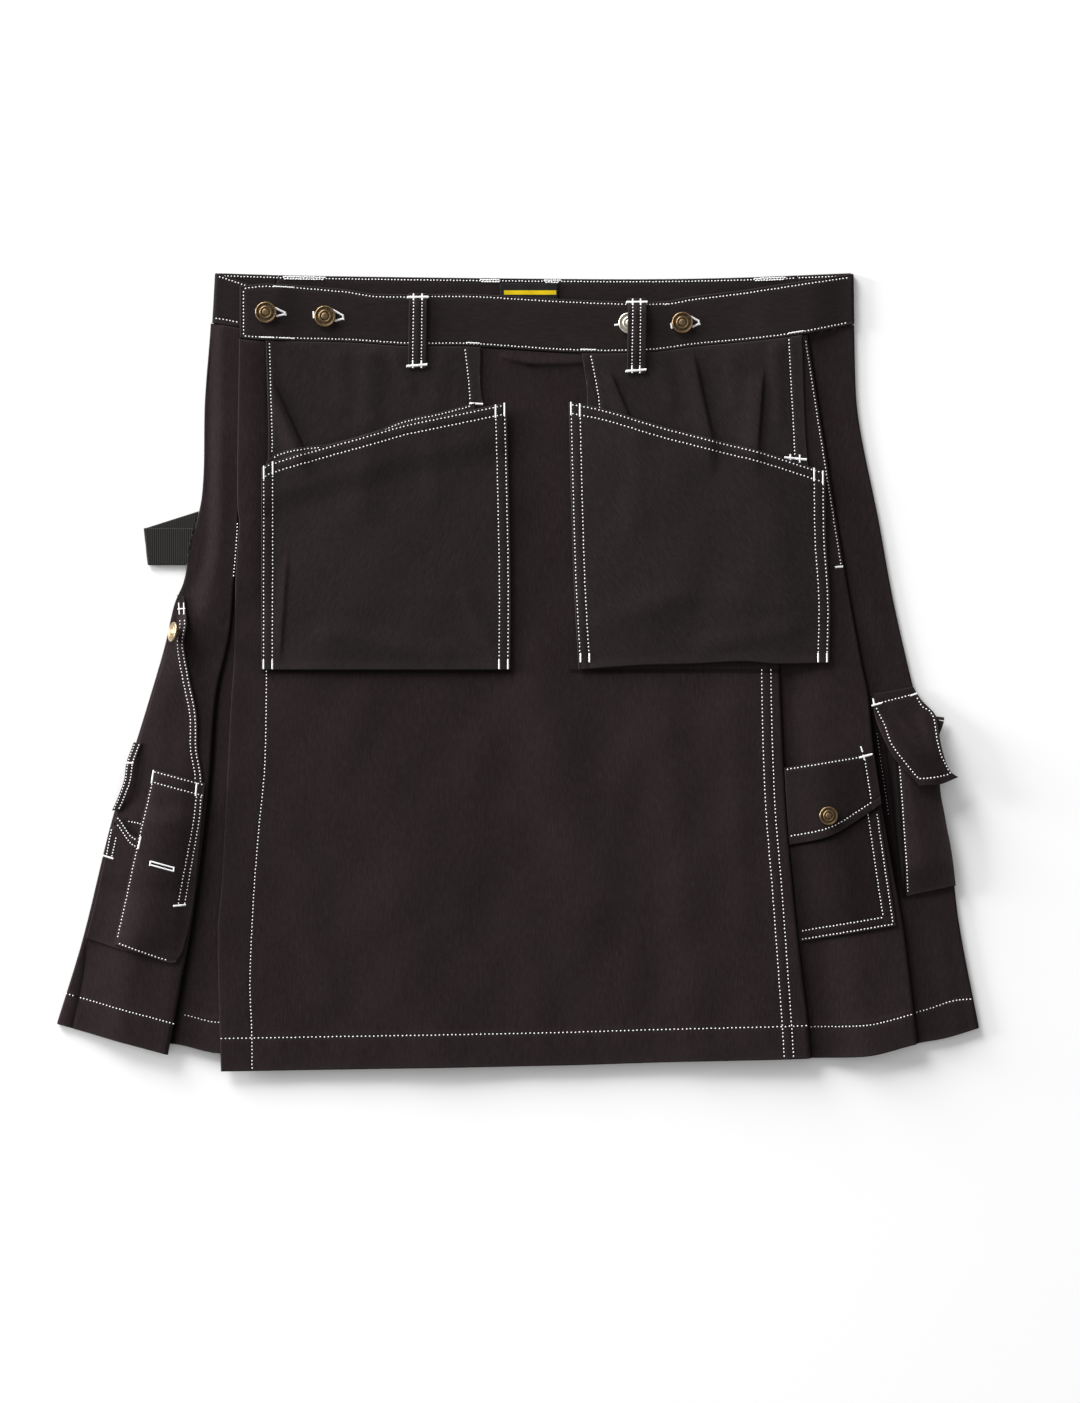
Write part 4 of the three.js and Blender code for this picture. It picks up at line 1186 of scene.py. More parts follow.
# Belt loops
# Narrow strips of doubled twill over the front band, sewn down with a bar tack at each end and two rows of
# stitches. The right one arches over a button.
LOOP_LEAN = 0.6
loop_twill = cloth_finish("twill of the belt loops", *BAND_TWILL)


def loop_height(top, foot, slack):
    """The middle of a loop's wall, from its upper bar tack to its lower one"""
    def at(x, y):
        free = ease(top - 2, top - 11, y) * ease(foot, foot + 24, y)
        over_backing = 0.5 * ease(foot + 24, foot + 14, y)
        return band_height(x) + BAND / 2 + GAP + CLOTH / 2 + slack * free + over_backing
    return at


def leaning(place, top, foot):
    """A line down a loop, which leans a little to the left towards its foot"""
    return lambda y: place - LOOP_LEAN * ease(top, foot, y)


for name, centre, width, top, foot, slack, rows_of_thread in (
    ("belt_loop_left", -79.2, 14.5, 301, 240.9, 1.2, (-3.5, 3.3)),
    ("belt_loop_right", 94.8, 15, 297, 236.9, 3.7, (-3.4, 2.8)),
):
    height = loop_height(top, foot, slack)
    seams = [leaning(centre + at, top, foot) for at in rows_of_thread]
    edges = [leaning(centre - width / 2, top, foot), *seams, leaning(centre + width / 2, top, foot)]
    rows = Rows(level(top), level(foot), at=centre, fine=0.7, coarse=2)
    points = rows.run([rows.meet(edge) for edge in edges], height, 0.7, 1.6)
    x, y = spots(points)
    puffed = 0.25 * np.exp(-(((x - centre) / 2.2) ** 2))
    loop = cloth_piece(name + "_cloth", points, loop_twill, sewn(x, y, seams) + puffed)
    on_loop = on_face(height, above=-0.15)
    over_loop_thread = on_face(height, above=0)
    thread = Thread()
    for seam in seams:
        thread.run(down_path(seam, top - 4, foot + 4), on_loop, 2.6)
    thread.bar((centre - 8.3, top - 3.4), (centre + 7.8, top - 3.2), over_loop_thread, 2.2)
    thread.bar((centre - 8.8, foot + 1.9), (centre + 6.9, foot + 3.2), over_loop_thread, 2.2)
    for seam in seams:
        thread.bar((seam(top), top - 5.5), (seam(top), top - 1.0), on_loop, 1.5)
        thread.bar((seam(foot), foot + 0.8), (seam(foot), foot + 6.0), on_loop, 1.5)
    stitches = thread.build(name + "_stitches", thread_white)
    lay(loop, name)


# Label
# A strip of black woven tape inside the back band, with a plain yellow strip. The tape is folded and sewn
# along its ends, but here it is one flat strip without stitches.
LABEL_LEFT = -14
LABEL_RIGHT = 32
LABEL_TOP = 309.3
LABEL_FOOT = 296
LABEL_THICK = 1.0
YELLOW_FOOT = 300.2
YELLOW_TOP = 303.6
YELLOW_LEFT = -11
YELLOW_RIGHT = 30.5

label_rows = Rows(
    level(LABEL_TOP), level(YELLOW_TOP), level(YELLOW_FOOT), level(LABEL_FOOT), at=0, fine=0.5, coarse=1.5
)
label_points = label_rows.run(
    [label_rows.meet(level(place)) for place in (LABEL_LEFT, YELLOW_LEFT, YELLOW_RIGHT, LABEL_RIGHT)],
    lambda x, y: BAND + GAP + LABEL_THICK / 2 + 0.12 * np.sin(x / 3.1), 0.5, 1.5,
)
label_finish = Finish("woven label", Roughness=0.85, Specular_IOR_Level=0.15)
label_place = label_finish.node("ShaderNodeTexCoord", {}, {}, 3)
label_x = label_finish.node("ShaderNodeSeparateXYZ", {}, {"Vector": label_place}, 0)
label_y = label_finish.node("ShaderNodeSeparateXYZ", {}, {"Vector": label_place}, 1)
yellow_share = (
    label_x.maths("GREATER_THAN", label_x, YELLOW_LEFT * MILLIMETRE)
    * label_x.maths("LESS_THAN", label_x, YELLOW_RIGHT * MILLIMETRE)
    * label_y.maths("GREATER_THAN", label_y, YELLOW_FOOT * MILLIMETRE)
    * label_y.maths("LESS_THAN", label_y, YELLOW_TOP * MILLIMETRE)
)
label_weave = label_finish.noise(label_place, 2600, 1)
label_yellow = label_finish.blend(label_weave, (0.42, 0.29, 0.0, 1), (0.85, 0.62, 0.01, 1))
label_black = label_finish.blend(label_weave, (0.006, 0.006, 0.006, 1), (0.018, 0.017, 0.017, 1))
label_colour = label_finish.blend(yellow_share, label_black, label_yellow)
label_finish.feed(label_finish.shader.inputs["Base Color"], label_colour)
label_finish.bump(label_weave, 0.3, 0.0002)
label = cloth_piece("label_tape", label_points, label_finish.material, 0.0, LABEL_THICK)
lay(label, "waistband_label")


# Left nail pocket: backing
# A separate hanging pocket in a greyer, smoother canvas. Its backing is caught in the waistband seam, with
# the fullness eased in, and its edges are turned and stitched.
ON_PANEL = CLOTH + 1.5 * GAP
POUCH_FOOT = 1.6
CANVAS_FLAT = 150
CANVAS_FULL = 180
CANVAS = ((0.0134, 0.0097, 0.0098, 1), (0.0154, 0.0114, 0.0115, 1), (0.0430, 0.0360, 0.0362, 1))
left_canvas = cloth_finish("canvas of the left pocket", *CANVAS, 0.4, 0.00075, 0.25)
LEFT_SHARP_TUCKS = [(-200, 236, -164, 150, 8, 2.7)]
# The line along which shade is painted into the deep tuck
LEFT_TUCK_LINE = [(-194, 230, -162, 160)]
LEFT_BACKING_CREASES = [
    (-117.5, 256, -118.7, 200, 10, 1.1),
    (-98, 254, -86, 227, 5, 0.8),
    (-142, 250, -138, 215, 8, 0.7),
    (-60, 250, -66, 214, 9, 0.6),
]


def gathering(x, y):
    """Where the canvas is free to fold: below the band's seam, and above where the pouch keeps it flat"""
    return ease(CANVAS_FLAT, CANVAS_FULL, y) * ease(waist(x) - 1, waist(x) - 9, y)


def left_backing_height(x, y):
    """On the apron, with folds that the belt loop presses flat"""
    creased = folds(x, y, LEFT_BACKING_CREASES) + creases(x, y, LEFT_SHARP_TUCKS, 1.6)
    at_loop = 1 - np.exp(-(((x + 79) / 12) ** 2)) * ease(226, 238, y)
    return apron_height(x, y) + ON_PANEL + creased * gathering(x, y) * at_loop


def patch(left, right, across, height, down=(), at=0.0, fine=0.9, coarse=3.6):
    """The middle surface of a piece with four edges; key lines run across it and down it."""
    rows = Rows(*across, at=at, fine=fine, coarse=coarse)
    return rows.run([rows.meet(edge) for edge in (left, *down, right)], height, fine, coarse)


left_backing_left = line([262, -200.2], [172, -198.2], [140, -202], [3, -202.6])
left_backing_right = line([257, -29.3], [214, -27.3], [200, -12], [180, -8.5], [2, -7])


left_backing_seam = inset(left_backing_left, 2.9)
left_inner_seam = line([258, -42], [216, -38], [2, -36])
left_tuck = line([262, -193.6], [240, -193.2], [221.4, -191.9], [179.5, -171], [150, -167], [2, -167])
left_backing_points = patch(
    left_backing_left, left_backing_right, [inset(waist, -GAP), level(CANVAS_FLAT), level(POUCH_FOOT + 1)],
    left_backing_height, [left_backing_seam, left_tuck, left_inner_seam], at=-100, coarse=2.8,
)


def left_backing_relief(x, y):
    """Thread pulls it in at its sides, down to the pouch's mouth."""
    return sewn(x, y, [left_backing_seam, left_inner_seam]) * ease(160, 170, y)


# Painted shade along the deep tuck
left_backing = cloth_piece(
    "left_backing_cloth", left_backing_points, left_canvas, left_backing_relief(*spots(left_backing_points)),
    painted_shade=0.8 * painted_crease_shade(*spots(left_backing_points), LEFT_TUCK_LINE),
)
on_left_backing = on_face(left_backing_height, left_backing_relief)
left_backing_thread = Thread()
left_backing_thread.run(down_path(left_backing_seam, 262, 174), on_left_backing)
left_backing_thread.run(down_path(left_inner_seam, 257, 216), on_left_backing)
left_backing_thread.bar((-38, 213.4), (-28, 212.8), on_left_backing)
left_backing_stitches = left_backing_thread.build("left_backing_stitches", thread_white)
lay(
    left_backing, "left_pocket_backing",
)


# Left nail pocket: inner lip and pouch
# The pouch is a canvas patch with a slanting mouth, sewn down at its sides with two rows and hanging free at
# its foot. Just above the mouth shows the edge of an inner compartment.
left_pouch_top = line(
    [-203.4, 162], [-197, 166], [-158, 177.7], [-112, 190.4], [-90, 196.8], [-62, 202.7], [-8.6, 213.9],
)
left_pouch_left = line([162, -203.4], [3, -203.9])
left_pouch_right = line([214, -8.6], [80, -5.6], [2, -5.8])
left_inner_top = line(
    [-199, 167.5], [-190, 174], [-170, 178.5], [-150, 181], [-112, 191.5], [-90, 200.2], [-63, 206],
    [-36, 213.2],
)
SEAM_IN = 2.0
SEAM_WIDTH = 7.0
LIP_SEAM = -1.8
LEFT_MOUTH = 161.5
RIGHT_MOUTH = 212.5


def pouch_bulge(left, right, foot, top, depth):
    """A pouch stands off its backing in the middle and at its mouth, and is sewn down at its sides."""
    def at(x, y):
        across = np.clip((x - left(y)) / (right(y) - left(y)), 0, 1)
        up = np.clip((y - foot(x)) / (top(x) - foot(x)), 0, 1)
        return depth * np.sin(math.pi * across) ** 0.8 * np.minimum(1, 3 * up + 0.15)
    return at


left_bulge = pouch_bulge(left_pouch_left, left_pouch_right, level(POUCH_FOOT), left_pouch_top, 2.2)


def left_lip_height(x, y):
    """On the backing, standing off it with the pouch"""
    return left_backing_height(x, y) + ON_PANEL + 0.4 * left_bulge(x, y)


left_lip_points = patch(
    level(-199.5), level(-34), [left_inner_top, inset(left_inner_top, LIP_SEAM), inset(left_pouch_top, -22)],
    left_lip_height, at=-100, coarse=3,
)
left_lip = cloth_piece(
    "left_lip_cloth", left_lip_points, left_canvas,
    sewn(*spots(left_lip_points), across=[inset(left_inner_top, LIP_SEAM)]),
)
left_lip_thread = Thread()
for start, end in ((-194, -158), (-111, -37)):
    lip_seam = across_path(left_inner_top, start, end, LIP_SEAM)
    left_lip_thread.run(lip_seam, on_face(left_lip_height, above=-0.2))
left_lip_stitches = left_lip_thread.build("left_lip_stitches", thread_white)
lay(left_lip, "left_pocket_lip")


def inset_lines(edge, amounts):
    """Lines beside an edge, each at its own distance"""
    return [inset(edge, amount) for amount in amounts]


left_mouth_lines = inset_lines(left_pouch_top, (-SEAM_IN, -SEAM_IN - SEAM_WIDTH))
left_near_lines = inset_lines(left_pouch_left, (SEAM_IN, SEAM_IN + SEAM_WIDTH))
left_far_lines = inset_lines(left_pouch_right, (-SEAM_IN - SEAM_WIDTH, -SEAM_IN))
LEFT_POUCH_SHARP = [(-182.5, 92, -188.8, 8, 6, 0.7)]
left_pouch_crease = line([162, -181.5], [92, -182], [8, -188.3])
LEFT_POUCH_CREASES = [
    (-150, 30, -60, 12, 9, 0.9),
    (-118, 190, -124, 130, 12, 0.7),
    (-40, 60, -16, 10, 8, 0.7),
    (-70, 200, -66, 140, 8, 0.5),
]


def left_pouch_height(x, y):
    """On the backing and the lip, with its bulge and creases"""
    over_lip = ON_PANEL * ease(left_pouch_top(x) - 44, left_pouch_top(x) - 24, y)
    creased = folds(x, y, LEFT_POUCH_CREASES) + creases(x, y, LEFT_POUCH_SHARP)
    return left_backing_height(x, y) + ON_PANEL + over_lip + left_bulge(x, y) + creased


def pouch_relief(x, y, mouth, sides, foot):
    """Thread pulls the cloth in, and the turned edges are thicker."""
    near = 0.22 * ease(sides[1](y) + 1.6, sides[1](y) + 0.6, x)
    far = 0.22 * ease(sides[2](y) - 1.6, sides[2](y) - 0.6, x)
    upper = 0.22 * ease(mouth[1](x) - 1.6, mouth[1](x) - 0.6, y)
    lower = 0.35 * ease(foot(x) + 7, foot(x) + 3, y)
    return sewn(x, y, sides, mouth) + np.maximum(np.maximum(near, far), np.maximum(upper, lower))


def left_pouch_relief(x, y):
    """Of the left pouch, whose foot is straight"""
    return pouch_relief(x, y, left_mouth_lines, left_near_lines + left_far_lines, level(POUCH_FOOT))


left_pouch_points = patch(
    left_pouch_left, left_pouch_right, [left_pouch_top, *left_mouth_lines, level(POUCH_FOOT)],
    left_pouch_height, [*left_near_lines, left_pouch_crease, *left_far_lines], at=-100, coarse=2.8,
)
# Painted shade along the sharp crease
left_pouch = cloth_piece(
    "left_pouch_cloth", left_pouch_points, left_canvas, left_pouch_relief(*spots(left_pouch_points)),
    painted_shade=0.35 * painted_crease_shade(*spots(left_pouch_points), LEFT_POUCH_SHARP),
)


def sew_pouch(name, mouth, sides, left_top, right_top, foot, surface):
    """Two rows round three sides of a pouch, with bar tacks over the side rows at mouth and foot"""
    thread = Thread()
    for seam in mouth:
        thread.run(across_path(seam, sides[0](left_top), sides[3](right_top)), surface, 3.02)
    for seam, top in zip(sides, (left_top, left_top, right_top, right_top)):
        thread.run(down_path(seam, top - 2, foot), surface, 3.02)
        x = float(seam(top))
        thread.bar((x, mouth[0](x) + SEAM_IN - 0.4), (x, mouth[1](x) - 1), surface, 1.5)
        x = float(seam(foot))
        thread.bar((x, foot + 6.4), (x, foot), surface, 1.5)
    return thread.build(name, thread_white)


left_pouch_stitches = sew_pouch(
    "left_pouch_stitches", left_mouth_lines, left_near_lines + left_far_lines, LEFT_MOUTH, RIGHT_MOUTH,
    POUCH_FOOT + 1, on_face(left_pouch_height, left_pouch_relief),
)
lay(
    left_pouch, "left_pocket_pouch",
)


# Right nail pocket: backing
# The same canvas and make. Its fullness is taken in by two deep tucks below the band, and its right side
# lies over the pleat beside the apron.
right_canvas = cloth_finish("canvas of the right pocket", *CANVAS, -0.5, 0.00075, 0.25)
right_pouch_foot = line([48, POUCH_FOOT], [98, 5.2], [138, 6.4], [179, 8.3], [206, 6.4], [248, 7.2])
TUCKS = [(138.8, 255.2, 154, 185.4, 12, 1.9), (194.9, 241.7, 190.1, 176.8, 13, 1.9)]
RIGHT_SHARP_TUCKS = [(73.5, 237, 89.5, 200, 8, 1.1)]
RIGHT_BACKING_CREASES = [
    (112, 250, 122, 215, 6, 0.8),
    (205, 258, 208, 200, 6, 0.8),
    (170, 250, 172, 215, 7, 0.6),
]


def tucks(x, y):
    """Tucks grow from nothing at the band, and drop steeply at the right."""
    total = 0.0 * x
    for from_x, from_y, to_x, to_y, width, rise in TUCKS:
        t = np.clip((from_y - y) / (from_y - to_y), 0, 1)
        away = x - mix(from_x, to_x, t)
        profile = np.exp(-((away / np.where(away < 0, width, 2.2)) ** 2))
        total = total + rise * ease(0, 0.3, t) * profile
    return total * ease(CANVAS_FLAT, CANVAS_FULL, y)


def beside(tuck):
    """A key line just right of a tuck"""
    return line([tuck[1], tuck[0] + 1], [tuck[3], tuck[2] + 1], [2, tuck[2] + 1])


def right_backing_height(x, y):
    """On the apron and past its edge on the pleat, with tucks and folds that the belt loop presses flat"""
    on_the_apron = apron_height(x, y) + ON_PANEL
    off_the_apron = layer(3, y) + ON_PANEL + soft_folds(x, y) + band_rise(x, y)
    flat = np.where(x < apron_pleat_edge(y) - 20, on_the_apron, off_the_apron)
    creased = folds(x, y, RIGHT_BACKING_CREASES) + creases(x, y, RIGHT_SHARP_TUCKS)
    at_loop = 1 - np.exp(-(((x - 95) / 12) ** 2)) * ease(222, 234, y)
    return flat + tucks(x, y) + creased * gathering(x, y) * at_loop


right_backing_left = line([254, 50.8], [214, 55], [190, 47], [2, 49.5])
right_backing_right = line([265, 225.7], [165, 230.7], [140, 240], [7, 246])
right_backing_near = line([253, 57.8], [209, 65.1], [2, 68])
right_backing_far = line([265.5, 215.2], [171.7, 220.1], [7, 226])


def right_backing_relief(x, y):
    """Thread pulls it in at its sides, down to the pouch's mouth."""
    return sewn(x, y, [right_backing_near, right_backing_far]) * ease(160, 172, y)


right_backing_points = patch(
    right_backing_left, right_backing_right,
    [inset(waist, -GAP), level(CANVAS_FLAT), inset(right_pouch_foot, 1)],
    right_backing_height, [right_backing_near, *map(beside, RIGHT_SHARP_TUCKS + TUCKS), right_backing_far],
    at=140, coarse=2.8,
)
right_backing_x, right_backing_y = spots(right_backing_points)
# Painted shade in the tucks, fading out below them towards the pouch
painted_tuck_shade = painted_crease_shade(right_backing_x - 1, right_backing_y, RIGHT_SHARP_TUCKS + TUCKS)
right_backing = cloth_piece(
    "right_backing_cloth", right_backing_points, right_canvas,
    right_backing_relief(right_backing_x, right_backing_y),
    painted_shade=0.75 * painted_tuck_shade * ease(160, 176, right_backing_y),
)
on_right_backing = on_face(right_backing_height, right_backing_relief)
right_backing_thread = Thread()
right_backing_thread.run(down_path(right_backing_near, 252, 209), on_right_backing)
right_backing_thread.run(down_path(right_backing_far, 265, 172), on_right_backing)
right_backing_thread.bar((212, 170.2), (229, 168.6), on_right_backing, 2.2)
right_backing_thread.bar((216.5, 167), (216.5, 172.5), on_right_backing, 1.6)
right_backing_thread.bar((224, 166.5), (224, 172), on_right_backing, 1.6)
right_backing_stitches = right_backing_thread.build("right_backing_stitches", thread_white)
lay(
    right_backing, "right_pocket_backing",
)


# Right nail pocket: pouch
# Like the left one, with its mouth slanting the other way and a little more fullness.
right_pouch_top = line([40.3, 214.7], [68, 209.1], [113, 195.6], [161, 183.2], [194, 174.9], [244, 159])
right_pouch_left = line([214.7, 40.3], [80, 44], [1.6, 48.2])
right_pouch_right = line([159, 244.2], [105, 245], [57, 248], [7, 247.4])
right_mouth_lines = inset_lines(right_pouch_top, (-SEAM_IN, -SEAM_IN - SEAM_WIDTH))
right_near_lines = inset_lines(right_pouch_left, (SEAM_IN, SEAM_IN + SEAM_WIDTH))
right_far_lines = inset_lines(right_pouch_right, (-SEAM_IN - SEAM_WIDTH, -SEAM_IN))
RIGHT_POUCH_CREASES = [
    (70, 40, 130, 60, 11, 0.8),
    (150, 20, 215, 34, 9, 0.8),
    (200, 150, 212, 60, 13, 0.7),
    (96, 190, 92, 120, 10, 0.6),
]
right_bulge = pouch_bulge(right_pouch_left, right_pouch_right, right_pouch_foot, right_pouch_top, 3.2)


def right_pouch_height(x, y):
    """On the backing, with its bulge and creases"""
    return right_backing_height(x, y) + ON_PANEL + right_bulge(x, y) + folds(x, y, RIGHT_POUCH_CREASES)


def right_pouch_relief(x, y):
    """Of the right pouch, whose foot is a little wavy"""
    return pouch_relief(x, y, right_mouth_lines, right_near_lines + right_far_lines, right_pouch_foot)


right_pouch_points = patch(
    right_pouch_left, right_pouch_right, [right_pouch_top, *right_mouth_lines, right_pouch_foot],
    right_pouch_height, right_near_lines + right_far_lines, at=140, coarse=2.8,
)
right_pouch = cloth_piece(
    "right_pouch_cloth", right_pouch_points, right_canvas, right_pouch_relief(*spots(right_pouch_points))
)
right_pouch_stitches = sew_pouch(
    "right_pouch_stitches", right_mouth_lines, right_near_lines + right_far_lines, 213.5, 158, 8,
    on_face(right_pouch_height, right_pouch_relief),
)
lay(
    right_pouch, "right_pocket_pouch",
)


# Cargo pocket
# A patch of twill on the right pleat, with two rows of stitches, and a pointed flap that is buttoned down.
# Its left side runs in beneath the apron's edge.
cargo_left = inset(apron_pleat_edge, 0.6)
cargo_right = line([-73, 281.5], [-100, 285.5], [-202, 300.4])
cargo_foot = line([222, -215], [300, -201.6])
cargo_top = line([212, -84], [284, -73])
flap_foot = line([216, -137.5], [239, -133], [253, -127.8], [274, -114.9], [289, -104.5])
cargo_side_lines = inset_lines(cargo_right, (-9.5, -2.3))
cargo_foot_lines = inset_lines(cargo_foot, (8.5, 1.8))


def cargo_height(x, y):
    """On the right pleat, bulging in the middle and flat at the foot"""
    bulge = 1.6 * np.sin(math.pi * ease(cargo_left(y) - 20, cargo_right(y), x)) * ease(-208, -180, y)
    return right_pleat_height(x, y) + ON_PANEL + bulge


def cargo_relief(x, y):
    """Two rows of thread at the right and two at the foot"""
    return sewn(x, y, cargo_side_lines, cargo_foot_lines)


cargo_points = patch(
    cargo_left, cargo_right, [cargo_top, inset(flap_foot, -0.8), *cargo_foot_lines, cargo_foot], cargo_height,
    cargo_side_lines, at=255, fine=0.8, coarse=3,
)
cargo_x, cargo_y = spots(cargo_points)
# Painted shade in a strip under the flap's foot, and the pocket painted darker as a whole for how the light
# falls on it
painted_shade_below_flap = ease(2.4, 0.9, np.abs(cargo_y - flap_foot(cargo_x) + 0.4))
cargo = cloth_piece(
    "cargo_pocket_cloth", cargo_points, cloth_finish("twill of the cargo pocket", *painted_light_copy(TWILL, 0.76), 0.18),
    cargo_relief(cargo_x, cargo_y), painted_shade=0.7 * painted_shade_below_flap,
)
on_cargo = on_face(cargo_height, cargo_relief)
cargo_thread = Thread()
for side, bottom in zip(cargo_side_lines, cargo_foot_lines):
    corner = float(side(bottom(290)))
    cargo_thread.run(down_path(side, -112, float(bottom(corner))), on_cargo)
    cargo_thread.run(across_path(bottom, 225, corner), on_cargo)
cargo_stitches = cargo_thread.build("cargo_pocket_stitches", thread_white)
lay(cargo, "cargo_pocket")

flap_right = line([-62, 282.3], [-104, 288.7])
flap_top = line([212, -76.2], [282, -64.6])
flap_side_line = inset_lines(flap_right, (-8,))
flap_lines = [inset(flap_top, -1.5), inset(flap_foot, 7)]


def flap_height(x, y):
    """On the pocket, lifting a little in waves towards its foot"""
    lifted = 0.7 * np.exp(-(((y - flap_foot(x) - 4) / 10) ** 2)) * np.cos((x - 246) / 11)
    return cargo_height(x, y) + ON_PANEL + np.maximum(lifted, 0)


def flap_relief(x, y):
    """One row of thread round three sides"""
    return sewn(x, y, flap_side_line, flap_lines)


flap_points = patch(
    cargo_left, flap_right, [flap_top, *flap_lines, flap_foot], flap_height, flap_side_line, at=245,
    fine=0.7, coarse=2.4,
)
# The flap is painted darker as a whole, for how the light falls on it
flap = cloth_piece(
    "cargo_flap_cloth", flap_points, cloth_finish("twill of the cargo flap", *painted_light_copy(TWILL, 0.76), 0.3),
    flap_relief(*spots(flap_points)),
)
on_flap = on_face(flap_height, flap_relief)
flap_thread = Thread()
flap_thread.run(across_path(flap_lines[0], 213, 272), on_flap)
flap_thread.run(across_path(flap_lines[1], 216, 280.5), on_flap)
flap_thread.run(down_path(flap_side_line[0], -66, -102), on_flap)
flap_thread.bar((271.2, -68), (281, -65.4), on_flap)
flap_thread.bar((274.2, -66.4), (275, -69.4), on_flap, 1.3)
flap_stitches = flap_thread.build("cargo_flap_stitches", thread_white)
lay(flap, "cargo_flap")


# Side pocket
# A bellows pocket on the right side. Its left wall stands up from the panel in a dark gap beside the pleat,
# and its face runs to the side fold. Its flap has come loose and curls clear of the garment's outline.
side_pocket_seat = line([-30, 289], [-51, 291], [-115, 298.5], [-178, 305.5])
side_pocket_face = line([-30, 295.5], [-74, 300.6], [-176, 307.8])
side_pocket_right = line([-32, 339], [-40, 338.6], [-54, 334.2], [-96, 335.9], [-142, 344.4], [-169, 348])


def side_pocket_rest(x, y):
    """Where it would lie flat on the right side"""
    return right_side_height(x, y) + ON_PANEL


def side_pocket_rise(y):
    """How far its bellows stand open, most in the middle"""
    return 6.5 * ease(-182, -150, y) * ease(-24, -70, y)


def side_pocket_height(x, y):
    """Up the wall from its seat to the face, then settling towards the side fold"""
    climb = np.clip((x - side_pocket_seat(y) - 1) / (side_pocket_face(y) - 1.6 - side_pocket_seat(y)), 0, 1)
    settle = 1 - 0.6 * ease(side_pocket_face(y) + 8, side_pocket_right(y), x)
    return side_pocket_rest(x, y) + side_pocket_rise(y) * climb * settle


side_face_seam = inset(side_pocket_face, 2.2)
side_pocket_keys = [
    inset(side_pocket_seat, 1), inset(side_pocket_face, -0.6), side_face_seam, inset(side_pocket_face, 8),
]
side_pocket_points = patch(
    side_pocket_seat, side_pocket_right, [line([289, -31], [339, -36]), line([305, -179], [348, -169.8])],
    side_pocket_height, side_pocket_keys, at=318, fine=0.8, coarse=3,
)
side_pocket_x, side_pocket_y = spots(side_pocket_points)
# Painted shade on the bellows wall, and the piece painted paler as a whole for how the light falls on it
painted_wall_shade = ease(-0.6, -1.8, side_pocket_x - side_face_seam(side_pocket_y))
side_pocket = cloth_piece(
    "side_pocket_cloth", side_pocket_points,
    cloth_finish("twill of the side pocket", *painted_light_copy(TWILL, 1.25), 0.1),
    sewn(side_pocket_x, side_pocket_y, [side_face_seam]), painted_shade=0.9 * painted_wall_shade,
)
on_side_pocket = on_face(side_pocket_height, above=-0.2)
side_pocket_thread = Thread()
side_pocket_thread.run(down_path(side_face_seam, -74, -176), on_side_pocket)
side_pocket_thread.bar((335.3, -38.4), (338.4, -39), on_side_pocket, 0.8)
side_pocket_stitches = side_pocket_thread.build("side_pocket_stitches", thread_white)
lay(side_pocket, "side_pocket")

side_flap_left = line([-17, 282.6], [-34, 283.5], [-50, 288.6], [-70, 299.4], [-84, 312.7], [-91, 318.8])
side_flap_right = line(
    [-12, 314.6], [-23, 321.4], [-33, 331], [-44, 334], [-54, 334.9], [-68, 338.3], [-79, 343.2],
    [-84, 349.8],
)
side_flap_top = line([282, -17.5], [314, -12])
side_flap_foot = line([283, -96], [318.8, -90.3], [334.7, -89], [349.8, -83.2])
side_flap_lines = [line([282.4, -26], [316.1, -17.4]), line([317.4, -84.7], [332.5, -83.3], [343.1, -80.7])]
side_flap_sides = [
    line(
        [-28.6, 285], [-36.5, 288.4], [-41.8, 291], [-51, 293.7], [-57.6, 296.3], [-69.5, 304.9],
        [-84.7, 317.4],
    ),
    line(
        [-18.8, 316.7], [-23.3, 318.7], [-28, 322], [-31.2, 327.3], [-37.8, 330.5], [-53.7, 332.5],
        [-66.9, 335.9], [-80.7, 343.1],
    ),
]
SIDE_FLAP_TACKS = (
    ((281.6, -26.8), (289, -24.8)), ((282.4, -21.5), (283.2, -26)), ((312.6, -18.8), (317, -17.2)),
)
FLAP_CREASES = [(300, -30, 322, -62, 4, 0.8), (292, -44, 330, -84, 4, 0.9), (322, -36, 330, -66, 3.5, 0.7)]


def side_flap_height(x, y):
    """From the panel over the pocket's open bellows, waving and creased"""
    over_pocket = ON_PANEL * ease(-14, -28, y)
    wave = (1.8 + 1.6 * np.sin((x + y) / 9)) * ease(-20, -60, y)
    rise = side_pocket_rest(x, y) + side_pocket_rise(y) + over_pocket + wave
    return rise + folds(x, y, FLAP_CREASES) * ease(-18, -30, y)


def side_flap_relief(x, y):
    """One row of thread round all four sides"""
    return sewn(x, y, side_flap_sides, side_flap_lines)


side_flap_points = patch(
    side_flap_left, side_flap_right, [side_flap_top, *side_flap_lines, side_flap_foot], side_flap_height,
    side_flap_sides, at=318, fine=0.7, coarse=2.2,
)
